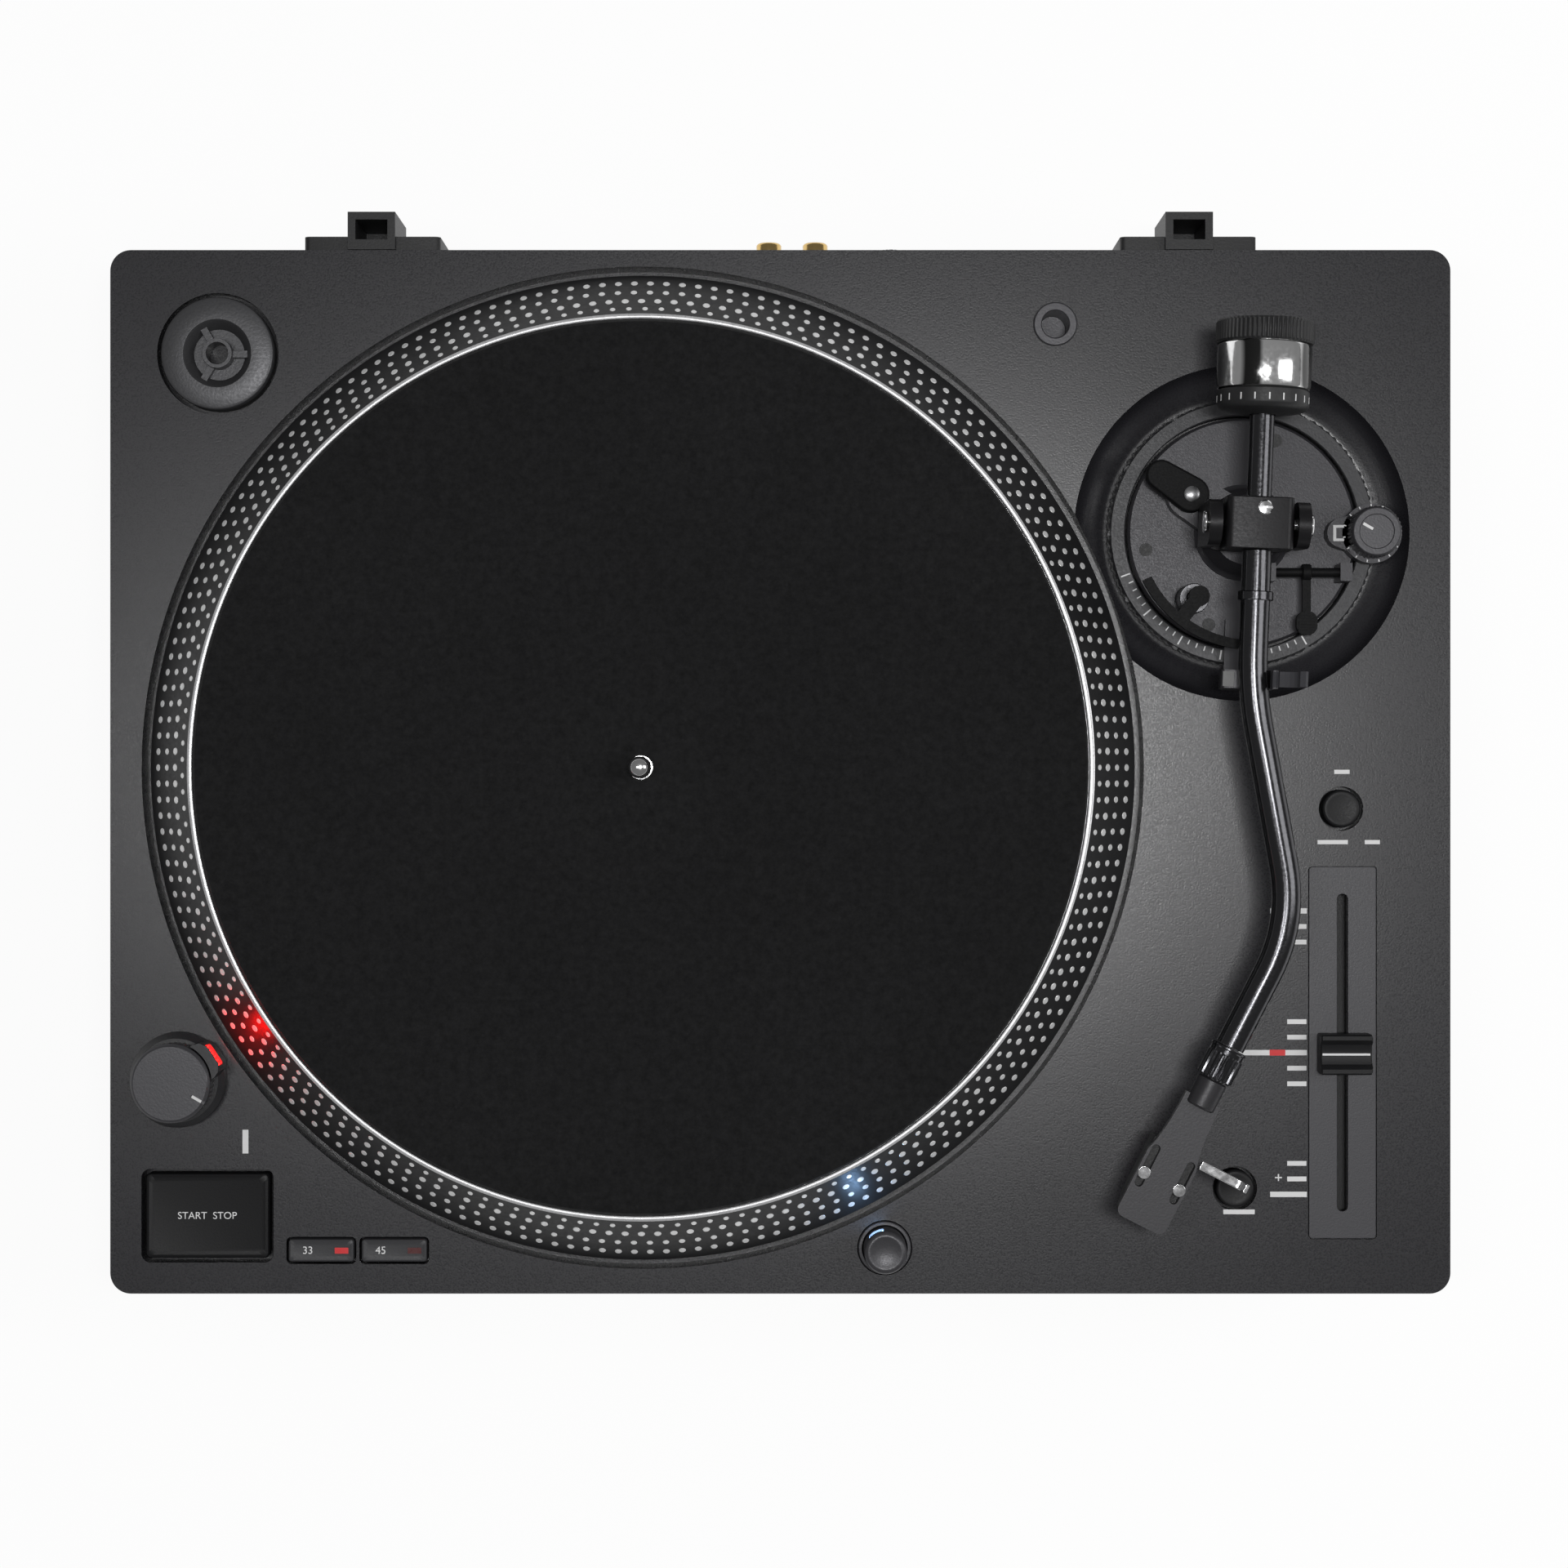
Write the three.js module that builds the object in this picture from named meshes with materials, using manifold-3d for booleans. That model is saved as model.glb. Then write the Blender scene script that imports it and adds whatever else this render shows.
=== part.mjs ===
// A direct-drive turntable with an S-shaped tonearm, modelled in millimetres.
// +X is to the right, +Y to the rear and +Z up; the origin is under the middle, at the feet.
import * as THREE from 'three';
import { mergeVertices } from 'three/addons/utils/BufferGeometryUtils.js';
import Module from 'manifold-3d';

const wasm = await Module();
wasm.setup();

// Facets
const fineSides = 48;
const wideSides = 36;
const roundSides = 24;
const smallSides = 16;
const tinySides = 8;
const pinSides = 6;
const cornerSteps = 2;

// Shared clearances and the overrun of every cut
const overrun = 2;
const seatGap = 0.3;
const runGap = 0.5;

// Cabinet: its sides stand at these margins from the platter and from the arm's pivot
const frontMargin = 10;
const leftMargin = 13.6;
const rightMargin = 70.36;
const footHeight = 20;
const baseHeight = 28;
const chassisHeight = 38;
const plinthCorner = 7;
const deckBevel = 1.6;
const deckThick = 4;
const wallThick = 3.5;
const baseInset = 1.5;
const baseRibSpread = 120;
const baseRibRise = 3;
const baseFloor = 4;
const baseWall = 5;
const seamGap = 0.3;

// Platter, its recess in the deck, mat and drive
const spindleBack = 1.4;
const platterRadius = 166;
const recessGap = 3;
const recessDepth = 12;
const recessFloorThick = 4;
const platterFloat = 2.5;
const platterRimStraight = 9;
const bandWidth = 15;
const platterRise = 15;
const lipWidth = 1.6;
const matSeatDrop = 1.2;
const platterDeck = 3.5;
const platterRimWall = 5;
const platterRibCount = 8;
const platterRibThick = 3;
const platterRibDrop = 5;
const matThick = 3;
const matHole = 4;
const spindleRadius = 3.6;
const spindleRise = 13;
const spindleTaper = 1.2;
const spindleShaft = 4;
const bearingRadius = 9;
const bearingFlange = 22;
const bearingFlangeThick = 3;
const bearingDrop = 17;
const motorPocketRadius = 62;
const motorPocketDepth = 8;
const statorRadius = 52;
const statorBoardThick = 1.6;
const statorStandoff = 3;
const coilCount = 6;
const statorPostCount = 3;
const statorPostRadius = 2;
const coilRadius = 11;
const coilHeight = 5;
const coilCircleShare = 0.72;
const magnetRadius = 58;
const magnetHole = 26;
const magnetThick = 5;
const magnetGap = 1.2;

// Adapter for large-hole records, in its well
const adapterFromLeft = 36.3;
const adapterFromRear = 35;
const adapterRadius = 19;
const adapterHeight = 9;
const adapterHole = 3.7;
const adapterDishRadius = 8.6;
const adapterDishDrop = 5.4;
const adapterHubRadius = 5;
const adapterWebCount = 3;
const adapterWebThick = 2.4;
const adapterProud = 2;
const wellGap = 1.5;
const pocketWall = 2.5;

// Power knob on the strobe tower
const towerClear = 22.07;
const towerAngle = 213.9;
const towerRadius = 16;
const towerHeight = 7;
const towerShoulder = 2;
const hoodReach = 16.8;
const hoodWidth = 13;
const hoodHeight = 17;
const hoodWindowWidth = 8;
const hoodWindowHeight = 7;
const hoodWindowDepth = 3;
const hoodWindowRise = 8.5;
const lensThick = 1.6;
const knobRadius = 13.2;
const knobHeight = 11;
const knobEdge = 1.2;
const knobNotch = 1.1;
const knobNotchLength = 5;
const knobNotchDepth = 0.8;
const knobNotchTurn = -120;
const knobPost = 3.5;

// Buttons
const startFromLeft = 32.8;
const startFromFront = 26.3;
const startWellWidth = 44.6;
const startWellDepth = 31.6;
const startWidth = 41.6;
const startDepth = 28.6;
const startHeight = 7;
const startEdge = 1.2;
const startCorner = 1.5;
const startWellDrop = 9;
const startProud = 0.6;
const keyStemRadius = 2;
const keyStemReach = 4;
const speedFromStart = 5.1;
const speedPairGap = 2.6;
const speedFromFront = 14.6;
const speedWidthShare = 0.13253;
const speedDepth = 7.6;
const speedHeight = 6;
const speedProud = 0.8;
const speedEdge = 0.7;
const speedCorner = 1;
const keyGap = 0.8;
const keyWellDrop = 8;
const roundKeyRadius = 6.4;
const roundKeyHeight = 7;
const roundKeyEdge = 0.9;
const roundKeyProud = 1.4;
const roundKeyGap = 1.1;
const roundKeySteps = 4;
const quartzFromRight = 36.9;
const quartzFromFront = 163.6;
const rangeFromRight = 72.7;
const rangeFromFront = 35.5;

// Pop-up target light
const lightClear = 15.3;
const lightAngle = -63.25;
const lightRadius = 7.2;
const lightRise = 13;
const lightTravel = 12;
const lightSink = 15;
const lightCapEdge = 1.2;
const lightWindowWidth = 5.4;
const lightWindowHeight = 5;
const lightWindowDepth = 2.6;
const lightWindowDrop = 2.6;
const lightLensThick = 1.4;
const collarWall = 1.6;
const collarRise = 0.8;

// Tempo slider
const sliderFromRight = 36.4;
const sliderFromFront = 81.3;
const sliderPanelWidth = 22.6;
const sliderPanelLength = 125.3;
const sliderPanelThick = 1.4;
const sliderPanelCorner = 1.2;
const sliderSlotWidth = 3.6;
const sliderEndMargin = 9.15;
const sliderCapWidth = 17.3;
const sliderCapLength = 13.5;
const sliderCapHeight = 9;
const sliderCapFloat = 0.8;
const sliderCapWaist = 3;
const sliderCapDish = 2.2;
const sliderStemWidth = 2;
const sliderStemLength = 5;
const sliderStemDrop = 9;
const sliderTrackWidth = 12;
const sliderTrackHeight = 8;
const sliderTrackGroove = 5;
const sliderTrackDrop = 6;

// Spare headshell socket
const socketFromRight = 133.3;
const socketFromRear = 25.1;
const socketRadius = 6.2;
const socketHole = 4.6;
const socketDepth = 15;
const socketRise = 1.2;
const socketLip = 1.2;

// Hinge holders on the rear wall
const holderFromSide = 88;
const holderWidth = 46;
const holderThick = 5;
const holderHeight = 30;
const holderTopDrop = 3;
const holderProtrusion = 13;
const holderSocketWidth = 16;
const holderSocketWall = 2.6;
const holderSocketFloor = 3;
const holderCorner = 2;
const holderBolt = 2.2;
const holderBoltShare = 0.68;

// Dish round the tonearm, and the height ring
const pivotClear = 51;
const pivotAngle = 21.4;
const dishRadius = 57;
const dishFloorRadius = 45.8;
const dishDepth = 7;
const dishShoulderShare = 0.55;
const dishShoulderRiseShare = 0.3;
const ringOuter = 45;
const ringInner = 39.4;
const ringHeight = 7.4;
const ringNotchCount = 12;
const ringNotchDepth = 0.9;
const ringNotchWidth = 2;

// Arm base, which the height ring lifts
const armBaseRadius = 38.6;
const armBaseThick = 5;
const armBaseFloat = 2.8;
const armBaseEdge = 1;
const armStemRadius = 18;
const armStemLength = 20;
const pillarRadius = 14.5;
const pillarHeight = 13;
const pillarTopRadius = 12;
const bridgeAngle = 147;
const bridgeReach = 22;
const bridgeWidth = 15;
const bridgeHeight = 7;
const lockLeverLength = 12;
const lockLeverWidth = 10;
const lockLeverThick = 5;
const lockLeverTip = 5;
const dialReach = 42.5;
const dialAngle = -1;
const dialRadius = 8.6;
const dialHeight = 9;
const dialFloat = 2;
const dialTeeth = 24;
const dialFootRadius = 10;
const dialFootRise = 7;
const dialPost = 2;
const rackClear = 6.9;
const rackWidth = 17.6;
const rackArmWidth = 9;
const rackArmThick = 3.4;
const rackDepth = 6;
const rackWall = 2.6;
const rackHorn = 7;
const rackCradleGap = 0.6;
const clipThick = 2;
const clipLength = 5;
const clipTurn = 125;
const clipPin = 1.1;
const clipFrom = 30;
const clipTo = 160;
const clipSteps = 4;

// Cueing
const cueShaftDrop = 14;
const cueShaftFrom = 7.5;
const cueShaftTo = 33;
const cueShaftRadius = 1.5;
const cueShaftRise = 10;
const cuePostWidth = 4;
const cuePostDepth = 6;
const cueLeverAt = 20;
const cueLeverLength = 21;
const cueLeverWidth = 3;
const cueLeverThick = 2.2;
const cuePaddleWidth = 7;
const cuePaddleLength = 8;
const cueHubRadius = 2.8;
const liftTravel = 4;
const liftRadius = 39;
const liftBarWidth = 3.2;
const liftBarThick = 2.4;
const liftBarSteps = 6;
const liftStartAngle = -86;
const liftArcAngle = 68;
const liftGap = 0.6;
const liftPostAngle = -128;
const liftPostReach = 29;
const liftPostRadius = 2.4;
const liftCylinderRadius = 5;
const liftCylinderRise = 14;

// Arm, in its own frame: forward is -Y, and the pivot is at the origin
const armAxisRise = 38;
const armRestYaw = 2.2;
const yawShaftRadius = 4;
const yawShaftLength = 10;
const yokeFloorThick = 2.6;
const yokeWidth = 33;
const yokeCheek = 4.2;
const yokeDepth = 15;
const yokeRoundRadius = 7.5;
const yokeCheekTaper = 1;
const yokeSteps = 5;
const pivotScrewRadius = 1.8;
const pivotScrewHead = 3.6;
const pivotScrewProud = 1;
const blockWidth = 22;
const blockDepth = 17;
const blockHeight = 13.5;
const blockCorner = 2.5;
const blockSteps = 2;
const blockEdge = 1.2;
const tubeRadius = 4.8;
const tubeStraightShare = 0.24885;
const outAngle = 12.5;
const apexShare = 0.59447;
const headAngle = 25;
const firstBend = 13;
const apexBend = 19;
const tubeSides = 10;
const tubeSteps = 28;
const collarAlong = 46;
const collarLength = 11.5;
const collarRadius = 6.1;
const collarGrips = 16;
const collarGripDepth = 0.5;
const bandAlong = 22;
const bandLength = 3;
const bandRadius = 5.8;
const shaftRadius = 4;
const shaftLength = 51;
const weightRadius = 15.3;
const weightFrom = 43.4;
const weightLength = 22.4;
const weightBandLength = 7.4;
const weightBandRadius = 16;
const weightWaist = 0.8;
const weightHollowRadius = 10.5;
const weightHollowDepth = 8.4;
const gaugeLength = 7.6;
const gaugeRadius = 15;
const gaugeHub = 6.4;
const gaugeSlope = 1.5;

// Headshell, cartridge and stylus, in a frame along the headshell
const shellLength = 53;
const shellWidth = 12.4;
const shellFrontWidth = 17.5;
const shellThick = 3;
const shellSteps = 2;
const shellTaperShare = 0.42;
const shellSlotWidth = 2.8;
const shellSlotLength = 15;
const shellSlotSpread = 12.7;
const shellSlotFromFront = 11;
const shellPinRadius = 3;
const shellPinLength = 8;
const shellHubRadius = 5;
const shellHubLength = 7;
const fingerWidth = 3;
const fingerReach = 17;
const fingerThick = 1.4;
const fingerFromFront = 28;
const fingerCurl = 4;
const cartWidth = 16.6;
const cartLength = 27;
const cartHeight = 11;
const cartFromFront = 1.5;
const cartNose = 6;
const cartPinRadius = 0.6;
const cartPinLength = 4;
const cartPinSpread = 2.6;
const stylusWidth = 9;
const stylusLength = 14;
const stylusHeight = 5;
const stylusTip = 1.6;
const stylusTipRadius = 0.9;
const stylusPointShare = 0.4;
const stylusFromFront = 4.5;
const cantileverBack = 7;

// Rear panel and what sits in it
const panelWidth = 150;
const panelHeight = 18;
const panelInset = 1.2;
const panelThick = 2;
const panelX = -15;
const panelDrop = 1.2;
const jackSpread = 16;
const jackX = 4;
const jackRadius = 4.2;
const jackFlange = 6;
const jackFlangeThick = 1.2;
const jackReach = 7.5;
const jackBore = 1.6;
const jackBoreDepth = 6;
const jackBack = 12;
const groundX = 38;
const groundRadius = 4.4;
const groundHeadLength = 5;
const groundStem = 2;
const groundStemLength = 7;
const groundGrips = 14;
const switchX = -34;
const switchSlotWidth = 9;
const switchSlotHeight = 4.4;
const switchTravel = 2.5;
const switchKnobWidth = 3.4;
const switchKnobHeight = 3.6;
const switchKnobReach = 1.2;
const switchBody = 12;
const inletX = -66;
const inletWidth = 24;
const inletHeight = 15;
const inletDepth = 14;
const inletCavityWidth = 20;
const inletCavityHeight = 12;
const inletCavityDepth = 11;
const inletPinWidth = 1.2;
const inletPinHeight = 4;
const inletPinReach = 8;
const inletPinSpread = 4;

// Inside the base
const boardWidth = 190;
const boardDepth = 90;
const boardThick = 1.6;
const boardFromLeft = 176;
const boardFromRear = 71;
const boardPostRadius = 3.5;
const chipWidth = 22;
const chipHeight = 3;
const capRadius = 6;
const capHeight = 14;
const capCount = 3;
const capSpread = 18;
const mainsFromLeft = 44;
const mainsFromRear = 71;
const mainsWidth = 46;
const mainsDepth = 40;
const mainsHeight = 34;
const mainsCoilShare = 0.6;
const mainsFlange = 3;

// Feet and case screws
const footInsetX = 42;
const footInsetY = 40;
const footRadius = 27;
const footTopRadius = 22;
const footGroove = 2;
const footGrooveHeight = 3;
const footRubberHeight = 13;
const footStudRadius = 5;
const footStudLength = 13;
const screwRadius = 3.2;
const screwHeadHeight = 1.6;
const screwInset = 26;
const screwSpread = 80;

// Heights and places that follow from the sizes above
const degree = Math.PI / 180;
const pivotReach = platterRadius + pivotClear;
const pivotAcross = pivotReach * Math.cos(pivotAngle * degree);
const plinthWidth = leftMargin + platterRadius + pivotAcross + rightMargin;
const plinthDepth = 2 * (platterRadius + frontMargin);
const plinthY = -holderProtrusion / 2;
const leftX = -plinthWidth / 2;
const rightX = plinthWidth / 2;
const frontY = plinthY - plinthDepth / 2;
const rearY = plinthY + plinthDepth / 2;
const spindleX = leftX + leftMargin + platterRadius;
const baseBottom = footHeight;
const baseTop = baseBottom + baseHeight;
const chassisBottom = baseTop + seamGap;
const deckZ = chassisBottom + chassisHeight;
const recessZ = deckZ - recessDepth;
const pocketZ = recessZ - motorPocketDepth;
const spindleY = plinthY + spindleBack;
const platterBottom = recessZ + platterFloat;
const platterTop = deckZ + platterRise;
const matSeat = platterTop - matSeatDrop;
const platterUnder = matSeat - platterDeck;
const lipRadius = platterRadius - bandWidth;
const matSeatRadius = lipRadius - lipWidth;
const boardZ = pocketZ + statorStandoff;
const coilTop = boardZ + statorBoardThick + coilHeight;
const magnetBottom = coilTop + magnetGap;
const magnetTop = magnetBottom + magnetThick;
const hubBottom = magnetTop + seatGap;
const hubRadius = magnetRadius + wallThick;
const adapterFloor = deckZ + adapterProud - adapterHeight - seatGap;
const dishZ = deckZ - dishDepth;
const pivotX = spindleX + pivotAcross;
const pivotY = spindleY + pivotReach * Math.sin(pivotAngle * degree);
const ringBottom = dishZ + seatGap;
const ringTop = ringBottom + ringHeight;
const armBaseBottom = dishZ + armBaseFloat;
const armBaseTop = armBaseBottom + armBaseThick;
const pillarTop = armBaseTop + pillarHeight;
const axisZ = deckZ + armAxisRise;
const panelZ = chassisBottom + panelDrop;
const adapterX = leftX + adapterFromLeft;
const adapterY = rearY - adapterFromRear;
const startX = leftX + startFromLeft;
const speedWidth = platterRadius * speedWidthShare;
const firstSpeedX = startX + startWellWidth / 2 + speedFromStart + speedWidth / 2;
const secondSpeedX = firstSpeedX + speedWidth + speedPairGap;
const sliderTravel = (sliderPanelLength - sliderStemLength - overrun) / 2 - sliderEndMargin;
const sliderX = rightX - sliderFromRight;
const sliderY = frontY + sliderFromFront;
const socketX = rightX - socketFromRight;
const socketY = rearY - socketFromRear;
const towerX = spindleX + (platterRadius + towerClear) * Math.cos(towerAngle * degree);
const towerY = spindleY + (platterRadius + towerClear) * Math.sin(towerAngle * degree);
const lightX = spindleX + (platterRadius + lightClear) * Math.cos(lightAngle * degree);
const lightY = spindleY + (platterRadius + lightClear) * Math.sin(lightAngle * degree);
const rackReach = liftRadius + (liftBarWidth + rackDepth) / 2 + rackClear;
const tubeStraight = pivotReach * tubeStraightShare;
const apexAlong = pivotReach * apexShare;

// Finishes
function finish(color, roughness, metalness) {
  return new THREE.MeshStandardMaterial({ color, roughness, metalness });
}

const paint = finish(0x4a494d, 0.55, 0.3);
const darkPlastic = finish(0x1b1b1d, 0.6, 0);
const softBlack = finish(0x121212, 0.85, 0);
const castMetal = finish(0x8f9092, 0.35, 0.9);
const brightMetal = finish(0xd4d4d6, 0.2, 1);
const armMetal = finish(0xa9a9ad, 0.3, 0.9);
const felt = finish(0x202021, 1, 0);
const redLens = finish(0xb0101a, 0.2, 0);
const clearLens = finish(0xcfe4ff, 0.1, 0);
const boardGreen = finish(0x1d5b35, 0.7, 0);
const copper = finish(0xb06a35, 0.4, 0.9);
const gold = finish(0xc9a04a, 0.3, 1);
const steel = finish(0x9a9ca0, 0.4, 0.9);

// Turns a geometry into a closed solid whose faces point out
function solid(geometry) {
  const bare = geometry.index ? geometry.toNonIndexed() : geometry;
  bare.deleteAttribute('normal');
  bare.deleteAttribute('uv');
  const welded = mergeVertices(bare);
  const points = welded.attributes.position.array;
  const corners = [];
  for (let i = 0; i < welded.index.count; i += 3) {
    const [a, b, c] = [0, 1, 2].map((k) => welded.index.getX(i + k));
    if (a !== b && b !== c && c !== a) {
      corners.push([a, b, c]);
    }
  }
  const at = (index) => new THREE.Vector3().fromArray(points, index * 3);
  const volume = corners.reduce((sum, [a, b, c]) => sum + at(a).dot(at(b).cross(at(c))), 0);
  const outward = volume < 0 ? corners.map(([a, b, c]) => [a, c, b]) : corners;
  return new wasm.Manifold(new wasm.Mesh({
    numProp: 3,
    vertProperties: Float32Array.from(points),
    triVerts: Uint32Array.from(outward.flat()),
  }));
}

// Puts a finished solid into a group as a named piece
function place(group, name, body, material) {
  const mesh = body.getMesh();
  const geometry = new THREE.BufferGeometry();
  geometry.setAttribute('position', new THREE.BufferAttribute(Float32Array.from(mesh.vertProperties), 3));
  geometry.setIndex(new THREE.BufferAttribute(Uint32Array.from(mesh.triVerts), 1));
  geometry.computeVertexNormals();
  const piece = new THREE.Mesh(geometry, material);
  piece.name = name;
  group.add(piece);
  return piece;
}

// The corner radius of a bore whose flats stay a radius away from its axis
function across(radius, sides) {
  return radius / Math.cos(Math.PI / sides);
}

function joined(bodies) {
  return bodies.reduce((whole, body) => whole.add(body));
}

// A revolved solid about Z from [radius, height] points
function turned(profile, sides) {
  const points = profile.map(([radius, height]) => new THREE.Vector2(radius, height));
  if (profile[0][0] > 0 || profile[profile.length - 1][0] > 0) {
    points.push(points[0].clone());
  }
  return solid(new THREE.LatheGeometry(points, sides).rotateX(Math.PI / 2));
}

function cylinder(radius, low, high, sides, x = 0, y = 0) {
  const geometry = new THREE.CylinderGeometry(radius, radius, high - low, sides).rotateX(Math.PI / 2);
  return solid(geometry.translate(x, y, (low + high) / 2));
}

function cone(lowRadius, highRadius, low, high, sides, x = 0, y = 0) {
  const geometry = new THREE.CylinderGeometry(highRadius, lowRadius, high - low,
      sides).rotateX(Math.PI / 2);
  return solid(geometry.translate(x, y, (low + high) / 2));
}

// Rods along Y and along X
function rodY(radius, from, to, sides, x = 0, z = 0) {
  const geometry = new THREE.CylinderGeometry(radius, radius, to - from, sides);
  return solid(geometry.translate(x, (from + to) / 2, z));
}

function rodX(radius, from, to, sides, y = 0, z = 0) {
  const geometry = new THREE.CylinderGeometry(radius, radius, to - from, sides).rotateZ(Math.PI / 2);
  return solid(geometry.translate((from + to) / 2, y, z));
}

function block([x0, y0, z0], [x1, y1, z1]) {
  const geometry = new THREE.BoxGeometry(x1 - x0, y1 - y0, z1 - z0);
  return solid(geometry.translate((x0 + x1) / 2, (y0 + y1) / 2, (z0 + z1) / 2));
}

// A block set by its middle in plan and by its low and high sides
function slab(x, y, width, depth, low, high) {
  return block([x - width / 2, y - depth / 2, low], [x + width / 2, y + depth / 2, high]);
}

function roundedRectangle(width, depth, radius, x = 0, y = 0) {
  const [right, top] = [x + width / 2, y + depth / 2];
  const [left, bottom] = [x - width / 2, y - depth / 2];
  const shape = new THREE.Shape();
  shape.absarc(right - radius, bottom + radius, radius, -Math.PI / 2, 0);
  shape.absarc(right - radius, top - radius, radius, 0, Math.PI / 2);
  shape.absarc(left + radius, top - radius, radius, Math.PI / 2, Math.PI);
  shape.absarc(left + radius, bottom + radius, radius, Math.PI, Math.PI * 1.5);
  return shape;
}

function prism(shape, low, high, curveSegments = cornerSteps) {
  const geometry = new THREE.ExtrudeGeometry(shape, { depth: high - low, bevelEnabled: false,
      curveSegments });
  return solid(geometry.translate(0, 0, low));
}

// A prism whose upper edge is chamfered all round
function cushioned(shape, low, high, edge, curveSegments = cornerSteps) {
  const geometry = new THREE.ExtrudeGeometry(shape, {
    depth: high - low,
    bevelThickness: edge,
    bevelSize: edge,
    bevelOffset: -edge,
    bevelSegments: 1,
    curveSegments,
  });
  const full = solid(geometry.translate(0, 0, low - edge));
  const box = full.boundingBox();
  const under = block(
    [box.min[0] - overrun, box.min[1] - overrun, low - edge - overrun],
    [box.max[0] + overrun, box.max[1] + overrun, low],
  );
  return full.subtract(under);
}

// A plate between two rounds of different radius
function tapered(x0, y0, radius0, x1, y1, radius1) {
  const heading = Math.atan2(y1 - y0, x1 - x0);
  const lean = Math.acos((radius0 - radius1) / Math.hypot(x1 - x0, y1 - y0));
  const shape = new THREE.Shape();
  shape.absarc(x0, y0, radius0, heading + lean, heading - lean + Math.PI * 2);
  shape.absarc(x1, y1, radius1, heading - lean, heading + lean);
  return shape;
}

// Where a key sits in the deck: its outline, how deep its well is and how far it moves
const keys = {
  start_stop_button: {
    x: startX,
    y: frontY + startFromFront,
    width: startWidth,
    depth: startDepth,
    wellWidth: startWellWidth,
    wellDepth: startWellDepth,
    corner: startCorner,
    edge: startEdge,
    height: startHeight,
    proud: startProud,
    wellDrop: startWellDrop,
  },
  speed_33_button: speedKey(firstSpeedX),
  speed_45_button: speedKey(secondSpeedX),
  quartz_button: roundKey(rightX - quartzFromRight, quartzFromFront),
  pitch_range_button: roundKey(rightX - rangeFromRight, rangeFromFront),
};

function speedKey(x) {
  return {
    x,
    y: frontY + speedFromFront,
    width: speedWidth,
    depth: speedDepth,
    wellWidth: speedWidth + 2 * keyGap,
    wellDepth: speedDepth + 2 * keyGap,
    corner: speedCorner,
    edge: speedEdge,
    height: speedHeight,
    proud: speedProud,
    wellDrop: keyWellDrop,
  };
}

function roundKey(x, fromFront) {
  return {
    x,
    y: frontY + fromFront,
    width: 2 * roundKeyRadius,
    depth: 2 * roundKeyRadius,
    wellWidth: 2 * (roundKeyRadius + roundKeyGap),
    wellDepth: 2 * (roundKeyRadius + roundKeyGap),
    corner: roundKeyRadius,
    steps: roundKeySteps,
    edge: roundKeyEdge,
    height: roundKeyHeight,
    proud: roundKeyProud,
    wellDrop: keyWellDrop,
  };
}

// A well's corner keeps the gap that its key has beside it
function wellOutline(key) {
  const gap = (key.wellWidth - key.width) / 2;
  return roundedRectangle(key.wellWidth, key.wellDepth, key.corner + gap, key.x, key.y);
}

function keyWellWall(key) {
  const [width, depth] = [key.wellWidth, key.wellDepth].map((size) => size + 2 * pocketWall);
  return slab(key.x, key.y, width, depth, deckZ - key.wellDrop - pocketWall, deckZ - deckBevel);
}

function keyWellCut(key) {
  const floor = deckZ - key.wellDrop;
  const hole = cylinder(across(keyStemRadius + seatGap, tinySides), floor - pocketWall - overrun,
    floor + overrun, tinySides, key.x, key.y);
  return prism(wellOutline(key), floor, deckZ + overrun, key.steps).add(hole);
}

// A key cap with its stem through the well's floor
function keyCap(key) {
  const top = deckZ + key.proud;
  const shape = roundedRectangle(key.width, key.depth, key.corner, key.x, key.y);
  const stemLow = deckZ - key.wellDrop - keyStemReach;
  const stem = cylinder(keyStemRadius, stemLow, top - key.height / 2, tinySides, key.x, key.y);
  return cushioned(shape, top - key.height, top, key.edge, key.steps).add(stem);
}

// The round hollow round the tonearm, with a shallow shoulder
function dishCut() {
  const shoulder = dishFloorRadius + (dishRadius - dishFloorRadius) * dishShoulderShare;
  return turned([
    [0, dishZ],
    [dishFloorRadius, dishZ],
    [shoulder, dishZ + dishDepth * dishShoulderRiseShare],
    [dishRadius, deckZ],
    [dishRadius, deckZ + overrun],
    [0, deckZ + overrun],
  ], wideSides).translate([pivotX, pivotY, 0]);
}

function chassisPockets() {
  const recessUnder = recessZ - recessFloorThick;
  const recess = cylinder(across(platterRadius + recessGap + wallThick, roundSides), recessUnder,
      deckZ - deckBevel,
    roundSides, spindleX, spindleY);
  const motor = cylinder(across(motorPocketRadius + wallThick, roundSides), pocketZ - recessFloorThick,
      recessZ, roundSides,
    spindleX, spindleY);
  const dish = cylinder(across(dishRadius + wallThick, roundSides), dishZ - deckThick,
      deckZ - deckBevel, roundSides, pivotX, pivotY);
  const adapter = cylinder(adapterRadius + wellGap + pocketWall, adapterFloor - pocketWall,
      deckZ - deckBevel,
    roundSides, adapterX, adapterY);
  return joined([recess, motor, dish, adapter, ...Object.values(keys).map(keyWellWall)]);
}

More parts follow.
